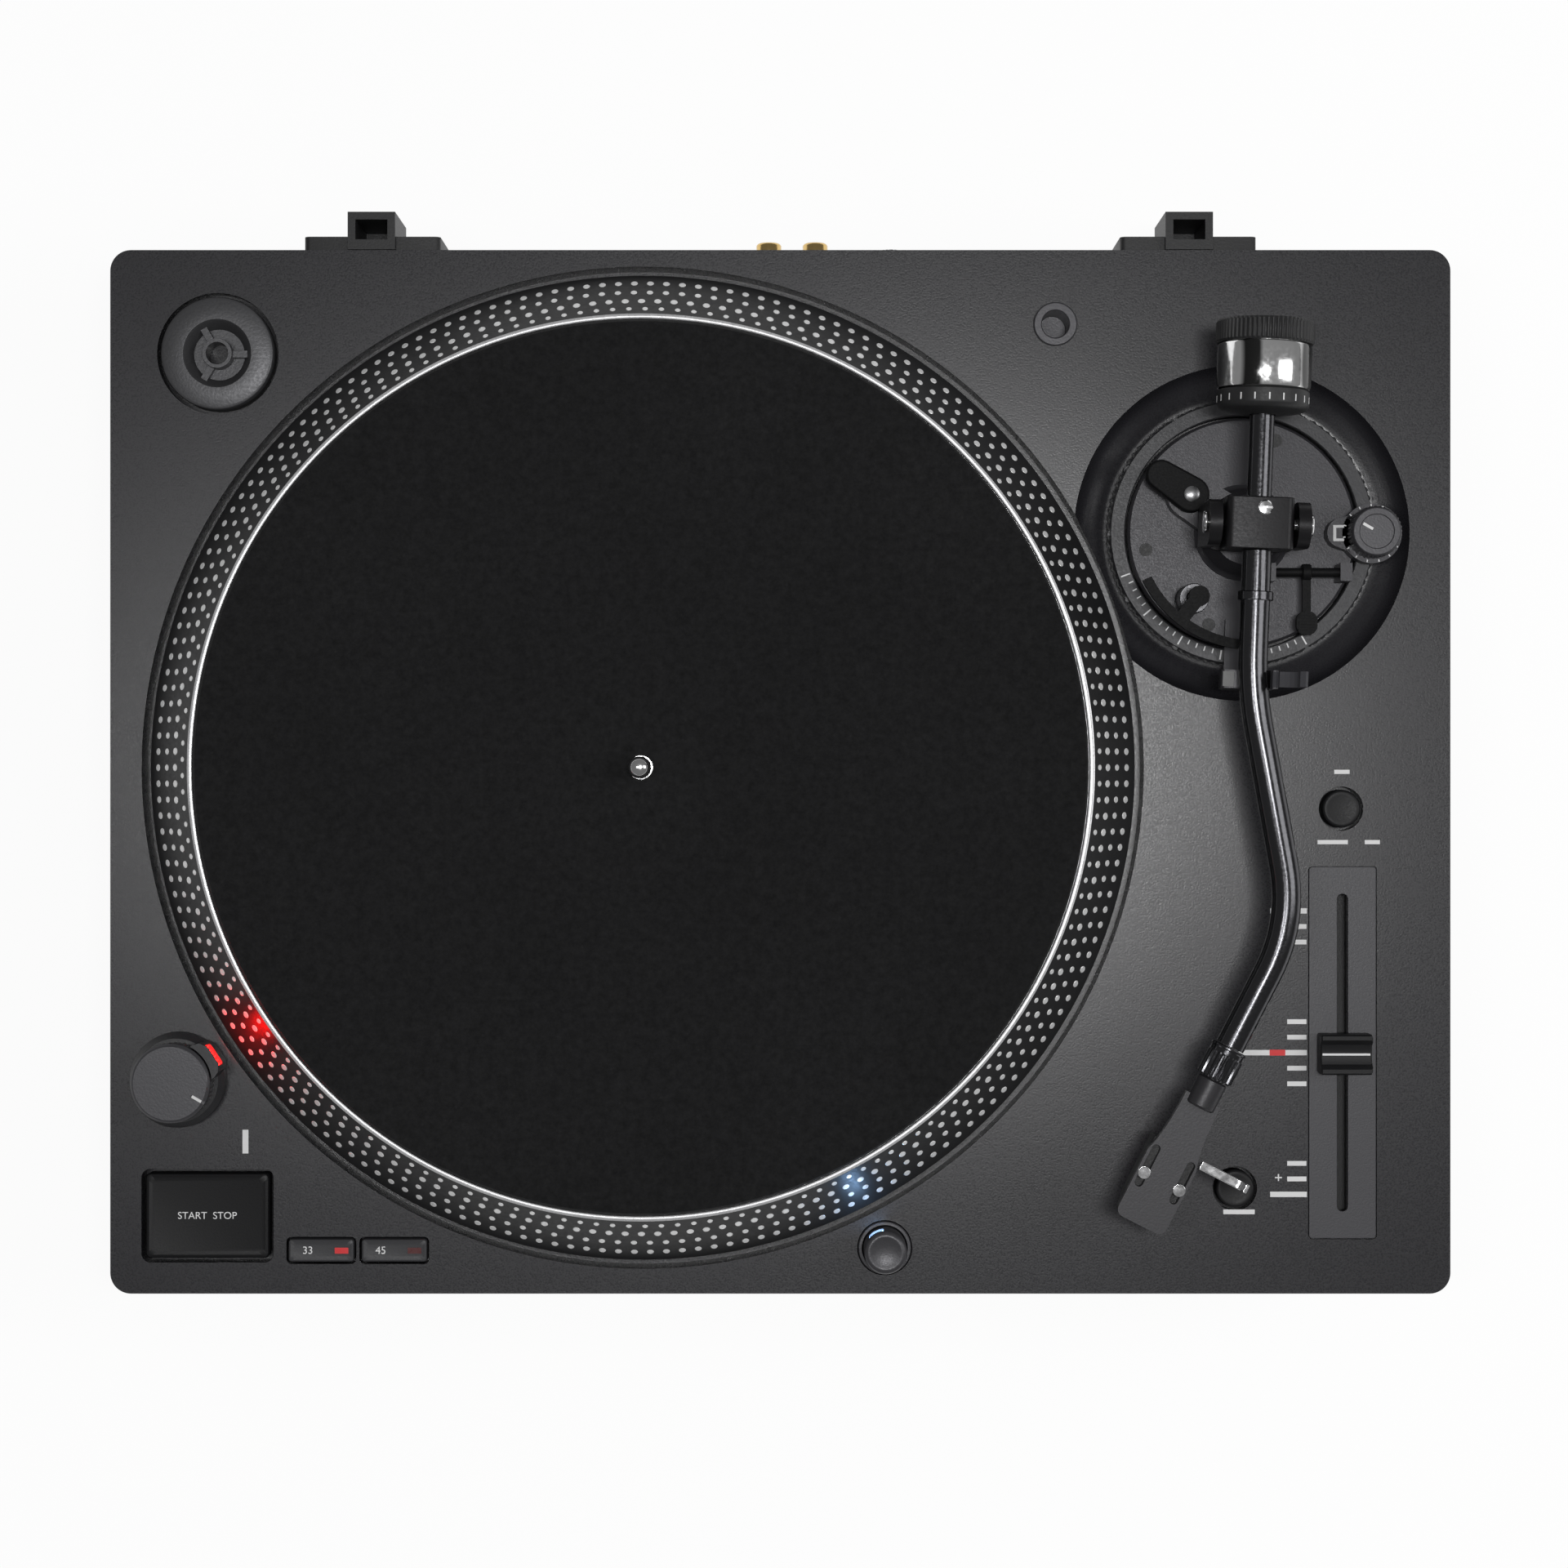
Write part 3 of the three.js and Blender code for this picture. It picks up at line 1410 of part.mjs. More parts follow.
// Gimbal yoke, in the arm's frame: origin at the pivot axes' crossing
function gimbalYoke() {
  const floorLow = pillarTop + seatGap - axisZ;
  const floor = cushioned(roundedRectangle(yokeWidth, yokeDepth, yokeDepth / 2 - seatGap),
    floorLow, floorLow + yokeFloorThick, seatGap);
  const side = new THREE.Shape();
  side.moveTo(-yokeDepth / 2 + yokeCheekTaper, floorLow);
  side.lineTo(yokeDepth / 2 - yokeCheekTaper, floorLow);
  side.absarc(0, 0, yokeRoundRadius, 0, Math.PI, false);
  const cheekGeometry = new THREE.ExtrudeGeometry(side, {
    depth: yokeCheek,
    bevelEnabled: false,
    curveSegments: yokeSteps,
  });
  const cheek = solid(cheekGeometry.rotateX(Math.PI / 2).rotateZ(Math.PI / 2));
  const right = cheek.translate([yokeWidth / 2 - yokeCheek, 0, 0]);
  const left = cheek.translate([-yokeWidth / 2, 0, 0]);
  const hole = rodX(across(pivotScrewRadius + seatGap, tinySides), -yokeWidth, yokeWidth, tinySides);
  const shaft = cylinder(yawShaftRadius, floorLow - yawShaftLength, floorLow + yokeFloorThick / 2,
      smallSides);
  return joined([floor, right, left]).subtract(hole).add(shaft);
}

function pivotScrew(turn) {
  const outer = yokeWidth / 2 + seatGap;
  const tip = blockWidth / 2 + seatGap;
  return rodX(pivotScrewRadius, tip, outer + pivotScrewProud / 2, tinySides)
    .add(rodX(pivotScrewHead, outer, outer + pivotScrewProud, tinySides))
    .rotate([0, 0, turn]);
}

function bearingBlock() {
  const shape = roundedRectangle(blockWidth, blockHeight, blockCorner);
  const geometry = new THREE.ExtrudeGeometry(shape, {
    depth: blockDepth - 2 * blockEdge,
    bevelThickness: blockEdge,
    bevelSize: blockEdge,
    bevelOffset: -blockEdge,
    bevelSegments: 1,
    curveSegments: blockSteps,
  });
  const body = solid(geometry.rotateX(Math.PI / 2)).translate([0, blockDepth / 2 - blockEdge, 0]);
  const dimple = pivotScrewRadius / 2;
  return body.subtract(joined([-1, 1].map((side) =>
    rodX(dimple, side * blockWidth / 2 - dimple, side * blockWidth / 2 + dimple, tinySides))));
}

// The S-shaped tube: straight, outward, then inward to the headshell
const apexX = (apexAlong - tubeStraight) * Math.tan(outAngle * degree);

function tubePath() {
  const along = (point, angle, distance) => new THREE.Vector3(
    point.x + distance * Math.sin(angle * degree),
    point.y - distance * Math.cos(angle * degree),
    0,
  );
  const turn = new THREE.Vector3(0, -tubeStraight, 0);
  const apex = new THREE.Vector3(apexX, -apexAlong, 0);
  const start = new THREE.Vector3(0, -blockDepth / 2 - seatGap, 0);
  const end = along(apex, -headAngle, collarAlong - seatGap);
  const marks = [
    along(turn, 0, -firstBend),
    along(turn, outAngle, firstBend),
    along(apex, outAngle, -apexBend),
    along(apex, -headAngle, apexBend),
  ];
  const path = new THREE.CurvePath();
  path.add(new THREE.LineCurve3(start, marks[0]));
  path.add(new THREE.QuadraticBezierCurve3(marks[0], turn, marks[1]));
  path.add(new THREE.LineCurve3(marks[1], marks[2]));
  path.add(new THREE.QuadraticBezierCurve3(marks[2], apex, marks[3]));
  path.add(new THREE.LineCurve3(marks[3], end));
  return path;
}

function armTube() {
  const section = new THREE.Shape();
  section.absarc(0, 0, tubeRadius, 0, 2 * Math.PI);
  const geometry = new THREE.ExtrudeGeometry(section, {
    steps: tubeSteps,
    curveSegments: tubeSides / 2,
    extrudePath: tubePath(),
  });
  const band = rodY(bandRadius, -bandAlong - bandLength, -bandAlong, smallSides);
  return solid(geometry).add(band);
}

function rearShaft() {
  const from = blockDepth / 2 + seatGap;
  return rodY(shaftRadius, from, from + shaftLength, smallSides);
}

// A turned piece whose axis is the arm: profile points are [radius, distance along]
function turnedY(profile, sides) {
  return turned(profile, sides).rotate([-90, 0, 0]);
}

function counterweight() {
  const bore = across(shaftRadius + seatGap, roundSides);
  const rear = weightFrom + weightLength;
  const bandFrom = rear - weightBandLength;
  return turnedY([
    [bore, weightFrom],
    [weightRadius - weightWaist, weightFrom],
    [weightRadius, weightFrom + weightWaist],
    [weightRadius, bandFrom - weightWaist],
    [weightRadius - weightWaist, bandFrom],
    [weightBandRadius - weightWaist, bandFrom],
    [weightBandRadius, bandFrom + weightWaist],
    [weightBandRadius, rear - weightWaist],
    [weightBandRadius - weightWaist, rear],
    [weightHollowRadius, rear],
    [weightHollowRadius, rear - weightHollowDepth],
    [bore, rear - weightHollowDepth],
  ], roundSides);
}

function gaugeRing() {
  const bore = across(shaftRadius + seatGap, roundSides);
  const rear = weightFrom - seatGap;
  const front = rear - gaugeLength;
  return turnedY([
    [bore, front],
    [gaugeHub, front],
    [gaugeRadius - gaugeSlope, front + gaugeSlope],
    [gaugeRadius, front + 2 * gaugeSlope],
    [gaugeRadius, rear],
    [bore, rear],
  ], roundSides);
}

// Pieces in the headshell's frame: -Y runs along it from the tube's apex
const shellFrom = collarAlong + collarLength + seatGap;
const shellFront = shellFrom + shellLength;
const shellUnder = -shellThick / 2;
const cartTop = shellUnder - seatGap;
const cartLow = cartTop - cartHeight;
const stylusTop = cartLow - seatGap;

function lockingCollar() {
  const bore = across(shellPinRadius + seatGap, collarGrips);
  const collar = turned([
    [bore, -collarAlong - collarLength],
    [collarRadius - collarGripDepth, -collarAlong - collarLength],
    [collarRadius, -collarAlong - collarLength + 2 * collarGripDepth],
    [collarRadius, -collarAlong - 2 * collarGripDepth],
    [collarRadius - collarGripDepth, -collarAlong],
    [bore, -collarAlong],
  ], collarGrips);
  return collar.rotate([-90, 0, 0]);
}

function shellOutline() {
  const back = -shellFrom - shellHubLength;
  const waist = -shellFrom - shellLength * shellTaperShare;
  const front = -shellFront;
  const [rear, wide] = [shellWidth / 2, shellFrontWidth / 2];
  const shape = new THREE.Shape();
  shape.moveTo(rear, back);
  shape.lineTo(-rear, back);
  shape.quadraticCurveTo(-rear, waist, -wide, waist - shellHubLength);
  shape.lineTo(-wide, front + shellThick);
  shape.lineTo(-wide + shellThick, front);
  shape.lineTo(wide - shellThick, front);
  shape.lineTo(wide, front + shellThick);
  shape.lineTo(wide, waist - shellHubLength);
  shape.quadraticCurveTo(rear, waist, rear, back);
  return shape;
}

function headshell() {
  const plate = prism(shellOutline(), -shellThick / 2, shellThick / 2, shellSteps);
  const hub = rodY(shellHubRadius, -shellFrom - shellHubLength - shellThick, -shellFrom, smallSides);
  const pin = rodY(shellPinRadius, -shellFrom - shellThick, -shellFrom + shellPinLength, tinySides);
  const slotBack = -shellFront + shellSlotFromFront + shellSlotLength;
  const slots = [-1, 1].map((side) => {
    const x = side * shellSlotSpread / 2;
    return block([x - shellSlotWidth / 2, slotBack - shellSlotLength, -shellThick],
      [x + shellSlotWidth / 2, slotBack, shellThick]);
  });
  return joined([plate, hub, pin]).subtract(joined(slots));
}

// The finger lift is a flat strip that leaves the shell's side and curls up
function fingerLift() {
  const edge = shellFrontWidth / 2 + seatGap;
  const side = new THREE.Shape();
  const low = -fingerThick / 2;
  side.moveTo(edge, low);
  side.lineTo(edge + fingerReach - fingerCurl, low);
  side.quadraticCurveTo(edge + fingerReach, low, edge + fingerReach, low + fingerCurl);
  side.lineTo(edge + fingerReach - fingerThick, low + fingerCurl);
  side.quadraticCurveTo(edge + fingerReach - fingerThick, low + fingerThick,
    edge + fingerReach - fingerCurl, low + fingerThick);
  side.lineTo(edge, low + fingerThick);
  side.closePath();
  const geometry = new THREE.ExtrudeGeometry(side, {
    depth: fingerWidth,
    bevelEnabled: false,
    curveSegments: cornerSteps,
  });
  return solid(geometry.rotateX(Math.PI / 2)).translate([0, -shellFront + fingerFromFront, 0]);
}

function cartridge() {
  const front = -shellFront + cartFromFront;
  const back = front + cartLength;
  const half = cartWidth / 2;
  const shape = new THREE.Shape();
  shape.moveTo(front, cartTop);
  shape.lineTo(back, cartTop);
  shape.lineTo(back, cartLow);
  shape.lineTo(front + cartNose, cartLow);
  shape.lineTo(front, cartLow + cartNose);
  shape.closePath();
  const geometry = new THREE.ExtrudeGeometry(shape, { depth: cartWidth, bevelEnabled: false });
  const body = solid(geometry.translate(0, 0, -half).rotateX(Math.PI / 2).rotateZ(Math.PI / 2));
  const pinZ = (cartTop + cartLow) / 2;
  const pins = [-1, 1].flatMap((side) => [-1, 1].map((row) =>
    rodY(cartPinRadius, back - cartPinLength / 2, back + cartPinLength, pinSides,
      side * cartPinSpread, pinZ + row * cartPinSpread / 2)));
  return body.add(joined(pins));
}

function stylusUnit() {
  const front = -shellFront + stylusFromFront;
  const grip = slab(0, front + cantileverBack + stylusLength / 2, stylusWidth, stylusLength,
    stylusTop - stylusHeight, stylusTop);
  const lever = block([-stylusTipRadius / 2, front, stylusTop - stylusHeight - stylusTipRadius / 2],
    [stylusTipRadius / 2, front + cantileverBack + stylusLength / 2,
      stylusTop - stylusHeight + stylusTipRadius / 2]);
  const tipLow = stylusTop - stylusHeight - stylusTip;
  const tip = cone(stylusTipRadius / 2 * stylusPointShare, stylusTipRadius / 2, tipLow,
    stylusTop - stylusHeight, pinSides, 0, front + stylusTipRadius);
  return joined([grip, lever, tip]);
}

// Rear panel, set into the opening in the chassis's rear wall
const panelFace = rearY - panelInset;
const panelBack = panelFace - panelThick;
const panelMiddle = panelZ + panelHeight / 2;
const jackPlaces = [jackX - jackSpread / 2, jackX + jackSpread / 2];

function rearPanel() {
  const plate = block([panelX - panelWidth / 2, panelBack, panelZ],
    [panelX + panelWidth / 2, panelFace, panelZ + panelHeight]);
  const through = (radius, x) => rodY(across(radius, tinySides), panelBack - overrun,
      panelFace + overrun, tinySides,
    x, panelMiddle);
  const slot = block([switchX - switchSlotWidth / 2, panelBack - overrun,
      panelMiddle - switchSlotHeight / 2],
    [switchX + switchSlotWidth / 2, panelFace + overrun, panelMiddle + switchSlotHeight / 2]);
  const inlet = block(
    [inletX - inletWidth / 2 - seatGap, panelBack - overrun, panelMiddle - inletHeight / 2 - seatGap],
    [inletX + inletWidth / 2 + seatGap, panelFace + overrun, panelMiddle + inletHeight / 2 + seatGap]);
  const jackHoles = jackPlaces.map((x) => through(jackRadius + seatGap, x));
  return plate.subtract(joined([slot, inlet, through(groundStem + seatGap, groundX), ...jackHoles]));
}

function outputJack(x) {
  const flange = panelFace + seatGap;
  return turnedY([
    [0, panelFace - jackBack],
    [jackRadius, panelFace - jackBack],
    [jackRadius, flange],
    [jackFlange, flange],
    [jackFlange, flange + jackFlangeThick],
    [jackRadius, flange + jackFlangeThick],
    [jackRadius, flange + jackReach],
    [jackBore, flange + jackReach],
    [jackBore, flange + jackReach - jackBoreDepth],
    [0, flange + jackReach - jackBoreDepth],
  ], tinySides).translate([x, 0, panelMiddle]);
}

function groundScrew() {
  const head = panelFace + seatGap;
  return turnedY([
    [0, head - groundStemLength],
    [groundStem, head - groundStemLength],
    [groundStem, head],
    [groundRadius, head],
    [groundRadius, head + groundHeadLength],
    [0, head + groundHeadLength],
  ], groundGrips).translate([groundX, 0, panelMiddle]);
}

function outputSwitch() {
  const body = block(
    [switchX - switchBody / 2, panelBack - seatGap - switchBody / 2, panelMiddle - switchSlotHeight],
    [switchX + switchBody / 2, panelBack - seatGap, panelMiddle + switchSlotHeight]);
  const room = block(
    [switchX - switchSlotWidth / 2, panelBack - switchBody / 2 + overrun,
        panelMiddle - switchSlotHeight / 2],
    [switchX + switchSlotWidth / 2, panelBack + overrun, panelMiddle + switchSlotHeight / 2]);
  return body.subtract(room);
}

function switchKnob() {
  const x = switchX - switchTravel / 2;
  return block([x - switchKnobWidth / 2, panelBack - switchBody / 2 + overrun + seatGap,
    panelMiddle - switchKnobHeight / 2],
  [x + switchKnobWidth / 2, panelFace + switchKnobReach, panelMiddle + switchKnobHeight / 2]);
}

function mainsInlet() {
  const low = panelMiddle - inletHeight / 2;
  const body = block([inletX - inletWidth / 2, panelFace - inletDepth, low],
    [inletX + inletWidth / 2, panelFace, low + inletHeight]);
  const cavity = block(
    [inletX - inletCavityWidth / 2, panelFace - inletCavityDepth, panelMiddle - inletCavityHeight / 2],
    [inletX + inletCavityWidth / 2, panelFace + overrun, panelMiddle + inletCavityHeight / 2]);
  const pins = [-1, 1].map((side) => {
    const x = inletX + side * inletPinSpread;
    return block([x - inletPinWidth / 2, panelFace - inletDepth + overrun / 2,
        panelMiddle - inletPinHeight / 2],
      [x + inletPinWidth / 2, panelFace - inletCavityDepth + inletPinReach,
          panelMiddle + inletPinHeight / 2]);
  });
  return body.subtract(cavity).add(joined(pins));
}

// Inside the base: the circuit board on its posts, and the mains transformer
const innerFloor = baseBottom + baseFloor + seatGap;
const boardX = leftX + boardFromLeft;
const mainsX = leftX + mainsFromLeft;

function mainBoard() {
  const y = rearY - boardFromRear;
  const low = innerFloor + boardPostRadius;
  const top = low + boardThick;
  const posts = [-1, 1].flatMap((side) => [-1, 1].map((row) =>
    cylinder(boardPostRadius, innerFloor, low + boardThick / 2, pinSides,
      boardX + side * (boardWidth / 2 - 2 * boardPostRadius),
          y + row * (boardDepth / 2 - 2 * boardPostRadius))));
  const board = slab(boardX, y, boardWidth, boardDepth, low, top);
  const chips = [-1, 1].map((side) =>
    slab(boardX + side * chipWidth, y, chipWidth, chipWidth, top - boardThick / 2, top + chipHeight));
  const caps = Array.from({ length: capCount }, (_, i) =>
    cylinder(capRadius, top - boardThick / 2, top + capHeight, pinSides,
      boardX + boardWidth / 2 - 2 * capSpread, y + (i - 1) * capSpread));
  return joined([...posts, board, ...chips, ...caps]);
}

function transformer() {
  const y = rearY - mainsFromRear;
  const core = slab(mainsX, y, mainsWidth, mainsDepth * mainsCoilShare, innerFloor,
      innerFloor + mainsHeight);
  const coil = slab(mainsX, y, mainsWidth * mainsCoilShare, mainsDepth, innerFloor + mainsFlange,
    innerFloor + mainsHeight - mainsFlange);
  const flange = slab(mainsX, y, mainsWidth + 2 * mainsDepth * (1 - mainsCoilShare) / 2,
    mainsDepth * mainsCoilShare, innerFloor, innerFloor + mainsFlange);
  return joined([core, coil, flange]);
}

// Assembly
const turntable = new THREE.Group();
place(turntable, 'top_chassis', topChassis(), paint);
place(turntable, 'lower_base', lowerBase(), darkPlastic);
for (const [name, spot] of Object.entries(footPlaces())) {
  place(turntable, name, foot(spot), softBlack);
}
place(turntable, 'bearing_housing', bearingHousing(), steel);
place(turntable, 'stator', stator(), copper);
place(turntable, 'rotor_magnet', magnetRing(), softBlack);
place(turntable, 'platter', platter(), castMetal);
place(turntable, 'slipmat', slipmat(), felt);
place(turntable, 'spindle', spindle(), brightMetal);
place(turntable, 'record_adapter', recordAdapter(), castMetal);
place(turntable, 'strobe_housing', strobeHousing(), darkPlastic);
place(turntable, 'strobe_lens', strobeLens(), redLens);
place(turntable, 'power_knob', powerKnob(), paint);
for (const [name, key] of Object.entries(keys)) {
  place(turntable, name, keyCap(key), darkPlastic);
}
place(turntable, 'target_light_collar', targetCollar(), darkPlastic);
place(turntable, 'target_light_tube', targetTube(), castMetal);
place(turntable, 'target_light_lens', targetLens(), clearLens);
place(turntable, 'tempo_panel', sliderPanel(), castMetal);
place(turntable, 'tempo_slider', sliderCap(), darkPlastic);
place(turntable, 'tempo_track', sliderTrack(), steel);
place(turntable, 'headshell_socket', headshellSocket(), softBlack);
place(turntable, 'hinge_holder_left', hingeHolder(leftX + holderFromSide), darkPlastic);
place(turntable, 'hinge_holder_right', hingeHolder(rightX - holderFromSide), darkPlastic);
place(turntable, 'height_ring', heightRing(), darkPlastic);
place(turntable, 'arm_base', armBase(), paint);
place(turntable, 'height_lock_lever', lockLever(), darkPlastic);
place(turntable, 'anti_skate_dial', antiSkateDial(), castMetal);
place(turntable, 'cue_lever', cueLever(), darkPlastic);
place(turntable, 'lift_bar', liftBar(), darkPlastic);
place(turntable, 'lift_cylinder', liftCylinder(), steel);
place(turntable, 'rest_clip', restClip(), darkPlastic);

const arm = new THREE.Group();
arm.position.set(pivotX, pivotY, axisZ);
arm.rotation.z = -armRestYaw * degree;
turntable.add(arm);
place(arm, 'gimbal_yoke', gimbalYoke(), darkPlastic);
place(arm, 'pivot_screw_right', pivotScrew(0), brightMetal);
place(arm, 'pivot_screw_left', pivotScrew(180), brightMetal);
place(arm, 'bearing_block', bearingBlock(), armMetal);
place(arm, 'arm_tube', armTube(), armMetal);
place(arm, 'rear_shaft', rearShaft(), brightMetal);
place(arm, 'counterweight', counterweight(), brightMetal);
place(arm, 'gauge_ring', gaugeRing(), softBlack);

const head = new THREE.Group();
head.position.set(apexX, -apexAlong, 0);
head.rotation.z = -headAngle * degree;
arm.add(head);
place(head, 'locking_collar', lockingCollar(), armMetal);
place(head, 'headshell', headshell(), paint);
place(head, 'finger_lift', fingerLift(), brightMetal);
place(head, 'cartridge', cartridge(), darkPlastic);
place(head, 'stylus', stylusUnit(), softBlack);

place(turntable, 'rear_panel', rearPanel(), steel);
place(turntable, 'output_jack_left', outputJack(jackPlaces[0]), gold);
place(turntable, 'output_jack_right', outputJack(jackPlaces[1]), gold);
place(turntable, 'ground_terminal', groundScrew(), brightMetal);
place(turntable, 'output_switch', outputSwitch(), softBlack);
place(turntable, 'switch_knob', switchKnob(), darkPlastic);
place(turntable, 'mains_inlet', mainsInlet(), softBlack);
place(turntable, 'main_board', mainBoard(), boardGreen);
place(turntable, 'transformer', transformer(), steel);

export default turntable;
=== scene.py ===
import math

import bmesh
import bpy
from mathutils import Matrix, Vector


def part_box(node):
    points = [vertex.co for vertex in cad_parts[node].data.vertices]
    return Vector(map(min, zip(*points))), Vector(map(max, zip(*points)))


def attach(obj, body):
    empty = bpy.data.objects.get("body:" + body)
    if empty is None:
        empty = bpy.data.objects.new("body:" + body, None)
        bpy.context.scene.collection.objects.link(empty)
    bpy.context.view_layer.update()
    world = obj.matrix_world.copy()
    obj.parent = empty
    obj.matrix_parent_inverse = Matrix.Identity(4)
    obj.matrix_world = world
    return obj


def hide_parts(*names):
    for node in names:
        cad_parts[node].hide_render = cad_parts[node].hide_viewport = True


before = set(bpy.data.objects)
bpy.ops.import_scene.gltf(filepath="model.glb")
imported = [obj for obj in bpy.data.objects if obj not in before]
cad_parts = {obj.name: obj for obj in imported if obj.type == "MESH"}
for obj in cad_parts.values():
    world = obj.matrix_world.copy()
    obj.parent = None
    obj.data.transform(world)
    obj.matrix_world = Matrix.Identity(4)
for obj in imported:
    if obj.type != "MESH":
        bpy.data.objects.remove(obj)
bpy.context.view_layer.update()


# Photographer's table: the player lies on a plain white sweep and is seen from straight above.
# Two narrow softboxes hang over it. A wide one stands low at its right, so the arm's shadow falls left.
MM = 0.001
LENS_HEIGHT = 1.1
DECK_TOP = 86.3
WHITE = (1, 1, 1, 1)


def linked(name, data):
    """A new object of the scene that shows the given mesh, lamp, camera or curve."""
    thing = bpy.data.objects.new(name, data)
    bpy.context.scene.collection.objects.link(thing)
    return thing


def node(tree, kind, inputs=None, **settings):
    """A new node with some of its settings and input values given."""
    new = tree.nodes.new(kind)
    for key, value in settings.items():
        setattr(new, key, value)
    for key, value in (inputs or {}).items():
        new.inputs[key].default_value = value
    return new


def joined(tree, *links):
    """Links sockets; each link is a node, its output, the next node and its input."""
    for source, output, target, entry in links:
        tree.links.new(source.outputs[output], target.inputs[entry])


def lamp(name, place, aim, width, depth, power):
    box = bpy.data.lights.new(name, "AREA")
    box.shape = "RECTANGLE"
    box.size = width
    box.size_y = depth
    box.energy = power
    light = linked(name, box)
    light.location = place
    light.rotation_euler = (Vector(aim) - Vector(place)).to_track_quat("-Z", "Y").to_euler()


camera_data = bpy.data.cameras.new("overhead_camera")
camera_data.sensor_width = 36
camera_data.lens = 74.88
camera = linked("overhead_camera", camera_data)
camera.location = (0.00124, -0.0106, DECK_TOP * MM + LENS_HEIGHT)
bpy.context.scene.camera = camera
lamp("softbox_right", (0.13, 0.03, 1.7), (0.09, 0.03, 0.08), 0.14, 0.3, 6.8)
lamp("softbox_side", (1.2, 0.08, 1.15), (0.13, 0.07, 0.08), 0.5, 0.9, 5)
lamp("softbox_left", (-0.36, 0.0, 1.7), (-0.1, 0, 0.08), 0.14, 0.3, 2.4)

world = bpy.data.worlds.new("studio_room")
bpy.context.scene.world = world
world.use_nodes = True
room = world.node_tree
room.nodes.clear()
room_light = node(room, "ShaderNodeBackground", {"Color": WHITE, "Strength": 0.17})
room_white = node(room, "ShaderNodeBackground", {"Color": WHITE, "Strength": 1})
room_path = node(room, "ShaderNodeLightPath")
room_mix = node(room, "ShaderNodeMixShader")
room_out = node(room, "ShaderNodeOutputWorld")
joined(room, (room_path, "Is Camera Ray", room_mix, 0), (room_light, 0, room_mix, 1),
       (room_white, 0, room_mix, 2), (room_mix, 0, room_out, 0))

paper = bpy.data.materials.new("sweep_paper")
paper.use_nodes = True
sweep = paper.node_tree
sweep.nodes.clear()
sweep_matt = node(sweep, "ShaderNodeBsdfDiffuse", {"Color": (0.85, 0.85, 0.85, 1)})
sweep_glow = node(sweep, "ShaderNodeEmission", {"Strength": 1.07})
sweep_path = node(sweep, "ShaderNodeLightPath")
seen_or_glossy = node(sweep, "ShaderNodeMath", operation="MAXIMUM")
or_through = node(sweep, "ShaderNodeMath", operation="MAXIMUM")
glow_share = node(sweep, "ShaderNodeMath", {1: 0.85}, operation="MULTIPLY")
sweep_mix = node(sweep, "ShaderNodeMixShader")
sweep_out = node(sweep, "ShaderNodeOutputMaterial")
joined(sweep, (sweep_path, "Is Camera Ray", seen_or_glossy, 0),
       (sweep_path, "Is Glossy Ray", seen_or_glossy, 1), (seen_or_glossy, 0, or_through, 0),
       (sweep_path, "Is Transmission Ray", or_through, 1), (or_through, 0, glow_share, 0),
       (glow_share, 0, sweep_mix, 0), (sweep_matt, 0, sweep_mix, 1), (sweep_glow, 0, sweep_mix, 2),
       (sweep_mix, 0, sweep_out, 0))
floor_mesh = bpy.data.meshes.new("sweep_floor")
floor_mesh.from_pydata([(-4, -4, 0), (4, -4, 0), (4, 4, 0), (-4, 4, 0)], [], [(0, 1, 2, 3)])
floor_mesh.materials.append(paper)
linked("sweep_floor", floor_mesh)


# Damped feet: each is a soft rubber skirt with one groove, moulded round a hard cap.
# A threaded stud on top screws it into the base.
def skinned(rings, capped=False, closed=False):
    """A body whose skin joins rings of points in millimetres; a ring of one point is a tip."""
    bm = bmesh.new()
    rings = [[bm.verts.new((x * MM, y * MM, z * MM)) for x, y, z in ring] for ring in rings]
    if capped:
        bm.faces.new(rings[0][::-1])
        bm.faces.new(rings[-1])
    sides = max(len(ring) for ring in rings)
    for low, high in zip(rings, rings[1:] + (rings[:1] if closed else [])):
        if len(low) == len(high) == 1:
            continue
        for i in range(sides):
            j = (i + 1) % sides
            corners = (low[i % len(low)], low[j % len(low)], high[j % len(high)], high[i % len(high)])
            bm.faces.new(list(dict.fromkeys(corners)))
    bmesh.ops.recalc_face_normals(bm, faces=bm.faces)
    return bm


def turned(profile, place=(0, 0), sides=96, tooth=0.0):
    """A body turned about an upright axis, from (radius, height) points in millimetres.

    Where a point has a third value, two of every four sides stand back there by the tooth's depth.
    """
    rings = []
    for radius, height, *toothed in profile:
        ring = []
        for i in range(sides if radius > 0 else 1):
            reach = radius - tooth if toothed and i % 4 in (2, 3) else radius
            angle = math.tau * i / sides
            ring.append((place[0] + reach * math.cos(angle), place[1] + reach * math.sin(angle), height))
        rings.append(ring)
    return skinned(rings, closed=profile[0][0] > 0 or profile[-1][0] > 0)


def settled(name, bm, finish, body, stands_for=None, round_off=0.0, crease=35):
    """Makes the finished piece and fixes it to its body; round_off is its edge radius in millimetres."""
    mesh = bpy.data.meshes.new(name)
    bm.to_mesh(mesh)
    bm.free()
    mesh.materials.append(finish)
    mesh.polygons.foreach_set("use_smooth", [True] * len(mesh.polygons))
    mesh.set_sharp_from_angle(angle=math.radians(crease))
    piece = linked(name, mesh)
    if round_off:
        bevel = piece.modifiers.new("round_off", "BEVEL")
        bevel.width = round_off * MM
        bevel.segments = 2
        bevel.limit_method = "ANGLE"
        bevel.angle_limit = math.radians(crease)
        bevel.harden_normals = True
    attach(piece, body)
    if stands_for:
        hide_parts(stands_for)
    return piece


